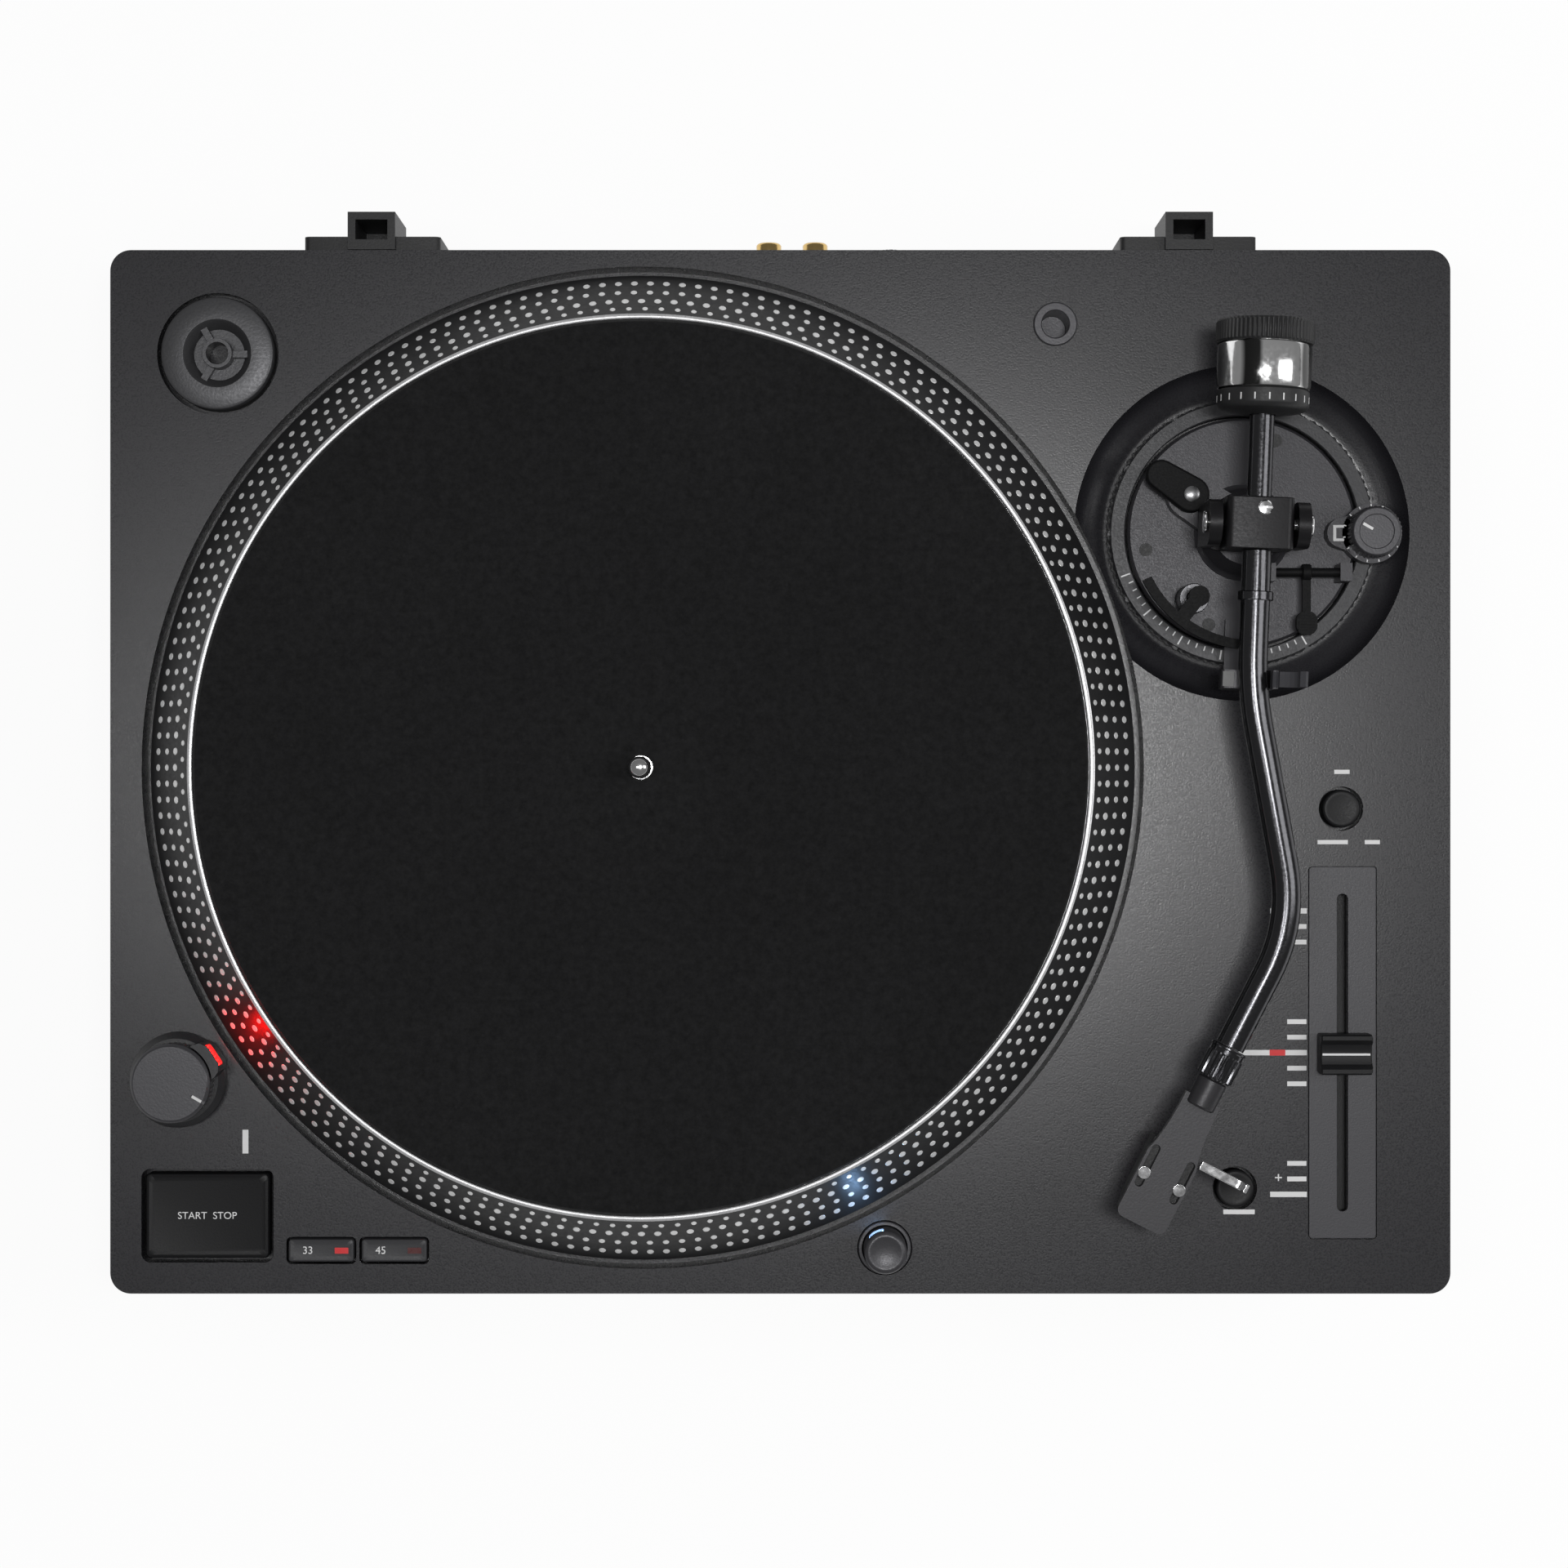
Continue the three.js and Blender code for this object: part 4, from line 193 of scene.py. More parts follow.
def moulded(name, colour, roughness, grain=0.0, grain_size=400.0, metallic=0.0, variation=0.12,
            specular=0.5, coat=0.0, glow=None, glow_strength=0.0):
    """A finish whose tone and gloss wander a little, with a fine grain pressed into it."""
    finish = bpy.data.materials.new(name)
    finish.use_nodes = True
    tree = finish.node_tree
    shader = tree.nodes["Principled BSDF"]
    shader.inputs["Metallic"].default_value = metallic
    shader.inputs["Specular IOR Level"].default_value = specular
    shader.inputs["Coat Weight"].default_value = coat
    if glow:
        shader.inputs["Emission Color"].default_value = (*glow, 1)
        shader.inputs["Emission Strength"].default_value = glow_strength
    place = node(tree, "ShaderNodeTexCoord")
    cloud = node(tree, "ShaderNodeTexNoise", {"Scale": 9, "Detail": 5})
    dark = (*[c * (1 - variation) for c in colour], 1)
    light = (*[min(1, c * (1 + variation)) for c in colour], 1)
    tone = node(tree, "ShaderNodeMix", {"A": dark, "B": light}, data_type="RGBA")
    fine = node(tree, "ShaderNodeTexNoise", {"Scale": grain_size, "Detail": 3})
    gloss = node(tree, "ShaderNodeMapRange", {"From Min": 0.3, "From Max": 0.7,
                                              "To Min": max(0.02, roughness - 0.06),
                                              "To Max": min(1, roughness + 0.06)})
    joined(tree, (place, "Object", cloud, "Vector"), (cloud, "Fac", tone, "Factor"),
           (tone, "Result", shader, "Base Color"), (place, "Object", fine, "Vector"),
           (fine, "Fac", gloss, "Value"), (gloss, "Result", shader, "Roughness"))
    if grain:
        press = node(tree, "ShaderNodeBump", {"Strength": grain, "Distance": 0.0002})
        joined(tree, (fine, "Fac", press, "Height"), (press, "Normal", shader, "Normal"))
    return finish


foot_rubber = moulded("foot_rubber", (0.018, 0.018, 0.019), 0.8, grain=0.35, grain_size=1400)
foot_profile = [(0, 0), (24.4, 0), (25.6, 0.4), (26.6, 1.4), (27, 2.6), (27, 4.6), (26.2, 5.6), (25.2, 6.5),
                (26.2, 7.4), (27, 8.4), (27, 12.4), (26.4, 13.4), (23.2, 14.6), (22, 15.6), (22, 19.2),
                (21.5, 19.7), (5, 19.7), (5, 32.7), (0, 32.7)]
feet = {"foot_front_left": (-184, -142.5), "foot_front_right": (184, -142.5),
        "foot_rear_left": (-184, 129.5), "foot_rear_right": (184, 129.5)}
for foot, place in feet.items():
    settled(foot + "_rubber", turned(foot_profile, place), foot_rubber, foot, foot)


# Lower base: a heavy moulded tray that closes the player from below.
# The feet screw into its bosses, and six screws hold it up against the deck casting.
PLINTH_Y = -6.5


def rounded_outline(width, depth, corner, place=(0, 0), steps=8):
    """Corner points of a rectangle with rounded corners, anticlockwise, in millimetres."""
    points = []
    for turn, (sx, sy) in enumerate([(1, -1), (1, 1), (-1, 1), (-1, -1)]):
        cx = place[0] + sx * (width / 2 - corner)
        cy = place[1] + sy * (depth / 2 - corner)
        for i in range(steps + 1):
            angle = math.radians(-90 + 90 * turn + 90 * i / steps)
            points.append((cx + corner * math.cos(angle), cy + corner * math.sin(angle)))
    return points


def arc(radius, angles, place=(0, 0)):
    """Points of a circle at the given angles in degrees."""
    return [(place[0] + radius * math.cos(math.radians(a)), place[1] + radius * math.sin(math.radians(a)))
            for a in angles]


def prism(outline, low, high):
    return skinned([[(x, y, low) for x, y in outline], [(x, y, high) for x, y in outline]], capped=True)


def slab(width, depth, corner, low, high, place=(0, 0), steps=8):
    """A plate with rounded corners between two heights."""
    return prism(rounded_outline(width, depth, corner, place, steps), low, high)


def disc(radius, low, high, place=(0, 0), sides=48):
    return prism(arc(radius, [360 * i / sides for i in range(sides)], place), low, high)


def box_of(low, high):
    return prism([low[:2], (high[0], low[1]), high[:2], (low[0], high[1])], low[2], high[2])


def frozen(thing):
    """The finished mesh of an object with its modifiers; the object itself is removed."""
    mesh = bpy.data.meshes.new_from_object(thing.evaluated_get(bpy.context.evaluated_depsgraph_get()))
    bpy.data.objects.remove(thing)
    return mesh


def carved(body, cutters=(), additions=()):
    """A mesh body with others joined to it and then others cut from it."""
    def temporary(bm):
        mesh = bpy.data.meshes.new("cutting")
        bm.to_mesh(mesh)
        bm.free()
        return linked("cutting", mesh)

    blank = temporary(body)
    scraps = [blank.data]
    for way, tools in (("UNION", additions), ("DIFFERENCE", cutters)):
        for tool in tools:
            step = blank.modifiers.new("cut", "BOOLEAN")
            step.object = temporary(tool)
            step.operation = way
            step.solver = "EXACT"
            scraps.append(step.object.data)
    whole = frozen(blank)
    result = bmesh.new()
    result.from_mesh(whole)
    bmesh.ops.remove_doubles(result, verts=result.verts, dist=1e-6)
    for scrap in [whole, *scraps]:
        bpy.data.meshes.remove(scrap)
    return result


base_composite = moulded("base_composite", (0.014, 0.014, 0.015), 0.55, grain=0.5, grain_size=900)
base_screws = [(x, PLINTH_Y + y) for reach, y in [(200, 0), (80, -150), (80, 150)] for x in (-reach, reach)]
base_bosses = [disc(10, 20, 37, place) for place in feet.values()]
base_bores = [disc(6, 18, 40, place) for place in feet.values()]
base_bores += [disc(4, 18, 21.9, place, 32) for place in base_screws]
tray = carved(slab(449, 349, 7, 20, 48, (0, PLINTH_Y), 12), [slab(439, 339, 4, 24, 60, (0, PLINTH_Y))])
settled("lower_base_tray", carved(tray, base_bores, base_bosses), base_composite, "cabinet", "lower_base",
        round_off=0.5)


# Case screws: six cross-headed steel screws, sunk in the underside of the base.
# Geometry Nodes set one head on each screw place.
def growing(name, sockets):
    """A Geometry Nodes tree that stands an instance on each point and makes the whole a plain mesh.

    It gives back the tree, the node with its named inputs and the node that sets the instances.
    """
    tree = bpy.data.node_groups.new(name, "GeometryNodeTree")
    for label, kind in {"Geometry": "Geometry", "Finish": "Material", **sockets}.items():
        tree.interface.new_socket(label, in_out="INPUT", socket_type="NodeSocket" + kind)
    tree.interface.new_socket("Geometry", in_out="OUTPUT", socket_type="NodeSocketGeometry")
    ends = node(tree, "NodeGroupInput")
    stand = node(tree, "GeometryNodeInstanceOnPoints")
    real = node(tree, "GeometryNodeRealizeInstances")
    dress = node(tree, "GeometryNodeSetMaterial")
    leave = node(tree, "NodeGroupOutput")
    joined(tree, (stand, "Instances", real, "Geometry"), (real, "Geometry", dress, "Geometry"),
           (ends, "Finish", dress, "Material"), (dress, "Geometry", leave, "Geometry"))
    return tree, ends, stand


def grown(name, seat, tree, settings, body):
    """Runs a Geometry Nodes tree on a seat mesh and fixes the plain mesh that results to its body."""
    start = linked(name + "_seat", seat)
    step = start.modifiers.new("grow", "NODES")
    step.node_group = tree
    for socket in tree.interface.items_tree:
        if socket.in_out == "INPUT" and socket.name in settings:
            step[socket.identifier] = settings[socket.name]
    mesh = frozen(start)
    mesh.name = name
    piece = linked(name, mesh)
    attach(piece, body)
    return piece


def screw_heads(name, places, radius, thick, low, finish, body):
    """Cross-headed screws with the cross below, one at each place, each turned on from the one before."""
    slots = [box_of((-radius * 0.6, -0.35, -1), (radius * 0.6, 0.35, thick * 0.5)),
             box_of((-0.35, -radius * 0.6, -1), (0.35, radius * 0.6, thick * 0.5))]
    cut = carved(disc(radius, 0, thick, sides=24), slots)
    head_mesh = bpy.data.meshes.new(name + "_head")
    cut.to_mesh(head_mesh)
    cut.free()
    head = linked(name + "_head", head_mesh)
    tree, ends, stand = growing(name, {"Turn": "Float"})
    source = node(tree, "GeometryNodeObjectInfo", {"Object": head})
    points = node(tree, "GeometryNodeMeshToPoints")
    number = node(tree, "GeometryNodeInputIndex")
    angle = node(tree, "ShaderNodeMath", operation="MULTIPLY")
    turn = node(tree, "ShaderNodeCombineXYZ")
    joined(tree, (ends, "Geometry", points, "Mesh"), (points, "Points", stand, "Points"),
           (number, 0, angle, 0), (ends, "Turn", angle, 1), (angle, 0, turn, "Z"),
           (turn, 0, stand, "Rotation"), (source, "Geometry", stand, "Instance"))
    seat = bpy.data.meshes.new(name)
    seat.from_pydata([(x * MM, y * MM, low * MM) for x, y in places], [], [])
    grown(name, seat, tree, {"Turn": 0.7, "Finish": finish}, body)
    bpy.data.objects.remove(head)


screw_steel = moulded("screw_steel", (0.42, 0.42, 0.43), 0.32, grain=0.1, metallic=1.0)
screw_heads("case_screws", base_screws, 3.2, 1.6, 20.1, screw_steel, "cabinet")


# Deck casting: die-cast aluminium under a dark textured lacquer, open from below.
# The platter recess, the arm's dish and the key wells are cast into it.
SPINDLE = (-46.4, -5.1)
PIVOT = (155.639, 74.078)
ADAPTER = (-189.7, 134.5)
START_KEY = (-193.2, -156.2)
SPEED_33 = (-154.8, -167.9)
SPEED_45 = (-130.2, -167.9)
QUARTZ = (189.1, -18.9)
RANGE = (153.3, -147)
TARGET_LIGHT = (35.2, -167)
SPARE_SOCKET = (92.7, 144.4)
SLIDER = (189.6, -101.2)
ABOVE_DECK = 90
deck_lacquer = moulded("deck_lacquer", (0.022, 0.0216, 0.025), 0.29, grain=0.16, grain_size=1700,
                       variation=0.06)
shell = carved(slab(452, 352, 7, 48.3, DECK_TOP, (0, PLINTH_Y), 12),
               [slab(445, 345, 3.5, 40, 82.3, (0, PLINTH_Y))])
pockets = [disc(172.5, 70.3, 84, SPINDLE, 128), disc(65.5, 62.3, 72, SPINDLE, 64),
           disc(60.5, 75.3, 84, PIVOT, 96), disc(23, 74.5, 84, ADAPTER, 64)]
well_walls = [box_of((-218, -174.5, 74.8), (-168.4, -137.9, 84)),
              box_of((-169.1, -175, 75.8), (-115.9, -160.8, 84)), disc(10, 75.8, 84, QUARTZ),
              disc(10, 75.8, 84, RANGE)]
shell = carved(shell, [], pockets + well_walls)
dish_profile = [(0, 79.3), (45.8, 79.3), (46.8, 79.45), (48.7, 80.15), (50.6, 80.86), (52.5, 81.6),
                (53.8, 82.3), (54.9, 83.3), (55.8, 84.5), (56.6, 86.3), (57.2, 88), (57.2, ABOVE_DECK),
                (0, ABOVE_DECK)]
well_cuts = [
    disc(169, 74.3, ABOVE_DECK, SPINDLE, 256), disc(62, 66.3, 78, SPINDLE, 96), disc(9.4, 58, 78, SPINDLE),
    turned(dish_profile, PIVOT, 192), disc(18.4, 70, 82, PIVOT, 64), disc(20.5, 79, ABOVE_DECK, ADAPTER, 96),
    slab(44.6, 31.6, 3, 77.3, ABOVE_DECK, START_KEY, 6), slab(23.6, 9.2, 1.8, 78.3, ABOVE_DECK, SPEED_33, 6),
    slab(23.6, 9.2, 1.8, 78.3, ABOVE_DECK, SPEED_45, 6), disc(7.5, 78.3, ABOVE_DECK, QUARTZ, 64),
    disc(7.5, 78.3, ABOVE_DECK, RANGE, 64), disc(9.3, 50, ABOVE_DECK, TARGET_LIGHT),
    disc(6.6, 60, ABOVE_DECK, SPARE_SOCKET), slab(23.2, 125.9, 1.2, 84.6, ABOVE_DECK, SLIDER),
    box_of((187.8, -156, 70), (191.4, -46.4, ABOVE_DECK)), box_of((-90.3, 164, 49.2), (60.3, 175, 67.8)),
]
well_cuts += [disc(2.4, 70, 80, place, 24) for place in (START_KEY, SPEED_33, SPEED_45, QUARTZ, RANGE)]
settled("deck_casting", carved(shell, well_cuts), deck_lacquer, "cabinet", "top_chassis", 0.7)


# Rear panel: a folded steel sheet in the chassis's rear opening, with the sockets screwed to it.
# Two gold jacks, a knurled ground terminal, a slide switch and the mains inlet sit in it.
SOCKETS_Z = 58.5
GROUND_X = 38
INLET_X = -66
jacks = {"left": -4, "right": 12}


def tipped(bm, degrees, axis):
    """Turns a body about the X, Y or Z axis through the origin."""
    spin = Matrix.Rotation(math.radians(degrees), 3, axis)
    bmesh.ops.rotate(bm, verts=bm.verts, cent=(0, 0, 0), matrix=spin)
    return bm


def moved(bm, x, y, z=0.0):
    bmesh.ops.translate(bm, verts=bm.verts, vec=(x * MM, y * MM, z * MM))
    return bm


def along_y(profile, x=0.0, z=0.0, sides=48, tooth=0.0):
    """A turned body whose axis runs to the rear, from (radius, distance) points in millimetres."""
    return moved(tipped(turned(profile, sides=sides, tooth=tooth), -90, "X"), x, 0, z)


panel_steel = moulded("panel_steel", (0.045, 0.045, 0.048), 0.5, grain=0.3, grain_size=1800, metallic=0.2)
panel_holes = [box_of((-38.5, 160, 56.3), (-29.5, 172, 60.7)), box_of((-78.3, 160, 50.7), (-53.7, 172, 66.3))]
panel_holes += [along_y([(0, 160), (radius, 160), (radius, 172), (0, 172)], x, SOCKETS_Z, 32)
                for radius, x in [(4.8, jacks["left"]), (4.8, jacks["right"]), (2.5, GROUND_X)]]
settled("rear_panel_sheet", carved(box_of((-90, 166.3, 49.5), (60, 168.3, 67.5)), panel_holes), panel_steel,
        "cabinet", "rear_panel", 0.3)
jack_gold = moulded("jack_gold", (0.72, 0.5, 0.2), 0.22, grain=0.05, metallic=1.0)
jack_rings = {"left": moulded("jack_ring_white", (0.62, 0.62, 0.6), 0.4),
              "right": moulded("jack_ring_red", (0.42, 0.02, 0.02), 0.4)}
jack_profile = [(0, 156.3), (4.2, 156.3), (4.2, 168.6), (5.7, 168.6), (6, 168.9), (6, 169.5), (5.7, 169.8),
                (4.3, 169.8), (4.3, 175.3), (3.9, 175.9), (3.5, 176.1), (1.7, 176.1), (1.7, 170.2),
                (0, 170.2)]
colour_profile = [(1.8, 175.6), (3.4, 175.6), (3.4, 176.15), (1.8, 176.15)]
for side, x in jacks.items():
    settled(f"output_jack_{side}_shell", along_y(jack_profile, x, SOCKETS_Z), jack_gold, "cabinet",
            f"output_jack_{side}")
for side, x in jacks.items():
    settled(f"jack_colour_{side}", along_y(colour_profile, x, SOCKETS_Z), jack_rings[side], "cabinet")
bright_steel = moulded("bright_steel", (0.78, 0.78, 0.79), 0.16, grain=0.04, metallic=1.0, variation=0.05)
ground_profile = [(0, 161.6), (2, 161.6), (2, 168.6), (3.9, 168.6), (4.4, 169.1, 1), (4.4, 173, 1),
                  (3.9, 173.6), (1.4, 173.6), (1.1, 173.2), (0, 173.2)]
settled("ground_terminal_knob", along_y(ground_profile, GROUND_X, SOCKETS_Z, 72, 0.4), bright_steel,
        "ground_terminal", "ground_terminal", crease=25)
soft_black = moulded("soft_black_plastic", (0.016, 0.016, 0.017), 0.5, grain=0.25, grain_size=1500)
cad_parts["output_switch"].material_slots[0].material = soft_black
knob_low, knob_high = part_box("switch_knob")
settled("switch_cap", box_of(knob_low / MM, knob_high / MM), soft_black, "switch_knob", "switch_knob",
        0.3)
inlet_room = moved(tipped(slab(20, 12, 1.5, 0, 20, steps=4), -90, "X"), INLET_X, 157.3, SOCKETS_Z)
settled("mains_inlet_shell", carved(box_of((-78, 154.3, 51), (-54, 168.3, 66)), [inlet_room]), soft_black,
        "cabinet", "mains_inlet", 0.3)
for side, x in (("left", INLET_X - 4), ("right", INLET_X + 4)):
    settled("inlet_pin_" + side, box_of((x - 0.6, 155.3, 56.5), (x + 0.6, 165.3, 60.5)), bright_steel,
            "cabinet", round_off=0.2)
screw_profile = [(0, 168.2), (2.4, 168.2), (2.4, 168.5), (1.9, 169), (0, 169.15)]
for number, (x, z) in enumerate([(-86, 52.5), (-86, 64.5), (56, 52.5), (56, 64.5), (24, SOCKETS_Z)]):
    settled(f"panel_screw_{number}", along_y(screw_profile, x, z, 32), screw_steel, "cabinet")


# Hinge holders: two moulded blocks screwed to the rear wall, each with a socket for a dust cover hinge.
# They are bare, because the cover is off.
HOLDER_Z = 68.3
BOLT_REACH = 15.64
bolt_hole = [(0, 172.3), (3.1, 172.3), (3.1, 180), (0, 180)]
bolt_profile = [(0, 171.8), (2.6, 171.8), (2.6, 173.2), (2.1, 173.8), (0, 174)]
for side, x in (("left", -138), ("right", 138)):
    plate = moved(tipped(slab(46, 30, 2, 0, 4.7, steps=6), 90, "X"), x, 174.5, HOLDER_Z)
    socket_block = box_of((x - 8, 169.8, 53.3), (x + 8, 182.5, 85.9))
    holes = [box_of((x - 5.4, 173.2, 56.3), (x + 5.4, 179.9, 90))]
    bolts = {"a": x - BOLT_REACH, "b": x + BOLT_REACH}
    holes += [along_y(bolt_hole, bolt_x, HOLDER_Z, 32) for bolt_x in bolts.values()]
    settled(f"hinge_holder_{side}_block", carved(plate, holes, [socket_block]), soft_black, "cabinet",
            "hinge_holder_" + side, 0.5)
    for end, bolt_x in bolts.items():
        bolt = along_y(bolt_profile, bolt_x, HOLDER_Z, 32)
        settled(f"hinge_bolt_{side}_{end}", bolt, screw_steel, "cabinet")


# Drive inside the cabinet: a stator board with flat coils, a steel bearing cup and a ring magnet.
# They are hidden by the platter and keep their CAD shapes, with finishes of their own.
coil_copper = moulded("coil_copper", (0.45, 0.2, 0.09), 0.35, grain=0.5, grain_size=900, metallic=0.8)
ferrite = moulded("ferrite_black", (0.03, 0.03, 0.032), 0.7, grain=0.6, grain_size=1300)
board_green = moulded("board_green", (0.02, 0.13, 0.06), 0.45, grain=0.2, grain_size=500)
inner_finishes = {"stator": coil_copper, "bearing_housing": screw_steel, "rotor_magnet": ferrite,
                  "main_board": board_green, "transformer": screw_steel, "tempo_track": soft_black}
for inner, finish in inner_finishes.items():
    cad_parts[inner].material_slots[0].material = finish


# Platter: turned from cast aluminium, with a bright lip round the mat's seat and ribs underneath.
# Its sloping rim is blacked, and four rows of bright dots stand on the black for the strobe.
RIM_RADIUS = 166
SLOPE_FOOT = 85.8
DOT_HEIGHT = 0.16
cast_aluminium = moulded("cast_aluminium", (0.55, 0.55, 0.56), 0.34, grain=0.25, grain_size=700, metallic=0.9)
band_black = moulded("band_black", (0.02, 0.02, 0.021), 0.38, grain=0.2, grain_size=900)
lip_bright = moulded("lip_bright", (0.66, 0.66, 0.67), 0.28, grain=0.03, metallic=0.35, variation=0.03)
dot_bright = moulded("dot_bright", (0.93, 0.93, 0.93), 0.3, grain=0.03, metallic=0.25, variation=0.08)
hub_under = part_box("rotor_magnet")[1].z / MM + 0.3
platter_profile = [(4.31, hub_under), (61.5, hub_under), (61.5, 96.6), (146, 96.6), (161, 85.8), (161, 76.8),
                   (165.5, 76.8), (165.9, 77.2), (165.9, 85.7), (151, 101.1), (149.4, 101.1), (149.4, 100.1),
                   (4.31, 100.1)]
settled("platter_casting", turned(platter_profile, SPINDLE, 256), cast_aluminium, "turning_platter",
        "platter", 0.25, crease=20)
rim_skin = [(165.95, 77.4), (RIM_RADIUS, 77.6), (RIM_RADIUS, SLOPE_FOOT), (151.15, 101.14), (151.05, 101.05),
            (165.8, 85.7), (165.8, 77.4)]
settled("strobe_band", turned(rim_skin, SPINDLE, 256), band_black, "turning_platter", crease=20)
lip_profile = [(149.45, 100.6), (149.45, 101.15), (149.7, 101.3), (150.8, 101.3), (151.1, 101.15),
               (151.1, 100.9), (150.6, 100.6)]
settled("platter_lip", turned(lip_profile, SPINDLE, 256), lip_bright, "turning_platter", crease=50)


def ring_of_dots():
    """Geometry Nodes tree: one row of small raised dots round the platter, square to its sloping rim."""
    tree, ends, stand = growing("ring_of_dots", {"Row Radius": "Float", "Row Height": "Float",
                                                 "Dot Radius": "Float", "Dot Height": "Float",
                                                 "Slope": "Float", "Dots": "Int", "Dot Sides": "Int"})
    row = node(tree, "GeometryNodeMeshCircle")
    lift = node(tree, "GeometryNodeSetPosition")
    up = node(tree, "ShaderNodeCombineXYZ")
    place = node(tree, "GeometryNodeInputPosition")
    flat = node(tree, "ShaderNodeVectorMath", {1: (1, 1, 0)}, operation="MULTIPLY")
    outward = node(tree, "ShaderNodeVectorMath", operation="NORMALIZE")
    rise = node(tree, "ShaderNodeCombineXYZ")
    square = node(tree, "ShaderNodeVectorMath", operation="ADD")
    aim = node(tree, "FunctionNodeAlignRotationToVector", axis="Z")
    dot = node(tree, "GeometryNodeMeshCone")
    narrow = node(tree, "ShaderNodeMath", {1: 0.8}, operation="MULTIPLY")
    joined(tree, (ends, "Dots", row, "Vertices"), (ends, "Row Radius", row, "Radius"),
           (row, "Mesh", lift, "Geometry"), (ends, "Row Height", up, "Z"), (up, 0, lift, "Offset"),
           (lift, "Geometry", stand, "Points"), (place, 0, flat, 0), (flat, 0, outward, 0),
           (outward, 0, square, 0), (ends, "Slope", rise, "Z"), (rise, 0, square, 1),
           (square, 0, aim, "Vector"), (aim, "Rotation", stand, "Rotation"),
           (ends, "Dot Sides", dot, "Vertices"), (ends, "Dot Radius", dot, "Radius Bottom"),
           (ends, "Dot Radius", narrow, 0), (narrow, 0, dot, "Radius Top"),
           (ends, "Dot Height", dot, "Depth"), (dot, "Mesh", stand, "Instance"))
    return tree


dot_tree = ring_of_dots()
strobe_rows = [(162.9, 190, 1.25), (159.3, 186, 1.15), (155.9, 180, 1.3), (152.9, 177, 1.0)]
for number, (row_radius, dots, dot_radius) in enumerate(strobe_rows):
    row_height = SLOPE_FOOT + (RIM_RADIUS - row_radius) * 1.0333 - 0.05
    row = grown(f"strobe_dots_row_{number}", bpy.data.meshes.new("dot_seat"), dot_tree, {
        "Row Radius": row_radius * MM, "Row Height": row_height * MM, "Dot Radius": dot_radius * MM,
        "Dot Height": DOT_HEIGHT * MM, "Slope": 0.968, "Dots": dots, "Dot Sides": 10, "Finish": dot_bright,
    }, "turning_platter")
    row.data.transform(Matrix.Translation((SPINDLE[0] * MM, SPINDLE[1] * MM, 0)))


# Slipmat: a disc of pressed felt that lies loose on the platter, with a hole for the spindle.
# Its nap is uneven, so its surface has faint lighter flecks and a soft edge.
MAT_RADIUS = 148.9
MAT_HOLE = 4
felt = bpy.data.materials.new("slipmat_felt")
felt.use_nodes = True
pile = felt.node_tree
felt_shader = pile.nodes["Principled BSDF"]
felt_feel = {"Roughness": 1, "Specular IOR Level": 0.1, "Sheen Weight": 0.15, "Sheen Roughness": 0.6}
for entry, value in felt_feel.items():
    felt_shader.inputs[entry].default_value = value
felt_place = node(pile, "ShaderNodeTexCoord")
nap = node(pile, "ShaderNodeTexNoise", {"Scale": 420, "Detail": 6, "Roughness": 0.7})
fleck = node(pile, "ShaderNodeTexVoronoi", {"Scale": 160})
patch = node(pile, "ShaderNodeTexNoise", {"Scale": 14})
nap_tones = node(pile, "ShaderNodeValToRGB")
felt_tones = [(0.3, (0.0085, 0.0085, 0.009, 1)), (0.72, (0.022, 0.022, 0.023, 1))]
for element, (position, tone) in zip(nap_tones.color_ramp.elements, felt_tones):
    element.position = position
    element.color = tone
spots = node(pile, "ShaderNodeMapRange", {"From Min": 0.1, "From Max": 0.02, "To Max": 0.35})
flecked = node(pile, "ShaderNodeMix", {"B": (0.034, 0.034, 0.035, 1)}, data_type="RGBA")
cloudy = node(pile, "ShaderNodeMix", {"Factor": 0.35}, data_type="RGBA", blend_type="MULTIPLY")
fibre = node(pile, "ShaderNodeBump", {"Strength": 0.7, "Distance": 0.0004})
joined(pile, (felt_place, "Object", nap, "Vector"), (felt_place, "Object", fleck, "Vector"),
       (felt_place, "Object", patch, "Vector"), (nap, "Fac", nap_tones, "Fac"),
       (fleck, "Distance", spots, "Value"), (spots, "Result", flecked, "Factor"),
       (nap_tones, "Color", flecked, "A"), (flecked, "Result", cloudy, "A"), (patch, "Fac", cloudy, "B"),
       (cloudy, "Result", felt_shader, "Base Color"), (nap, "Fac", fibre, "Height"),
       (fibre, "Normal", felt_shader, "Normal"))
mat_profile = [(MAT_HOLE, 100.4), (MAT_RADIUS - 0.6, 100.4), (MAT_RADIUS, 100.9), (MAT_RADIUS, 102.7),
               (MAT_RADIUS - 0.7, 103.4), (4.5, 103.4), (MAT_HOLE, 102.9)]
felt_disc = turned(mat_profile, SPINDLE, 192)
slipmat = settled("slipmat_felt", felt_disc, felt, "turning_platter", "slipmat")


# Spindle: a ground steel pin that stands through the mat's hole, with a rounded tip.
# It turns with the platter and centres the record.
spindle_profile = [(0, 52.3), (4, 52.3), (4, 100.4), (3.6, 100.4), (3.6, 112.6), (3.45, 113.8), (3, 114.9),
                   (2.2, 115.7), (1.1, 116.05), (0, 116.1)]
settled("spindle_pin", turned(spindle_profile, SPINDLE, 64), bright_steel, "turning_platter", "spindle")


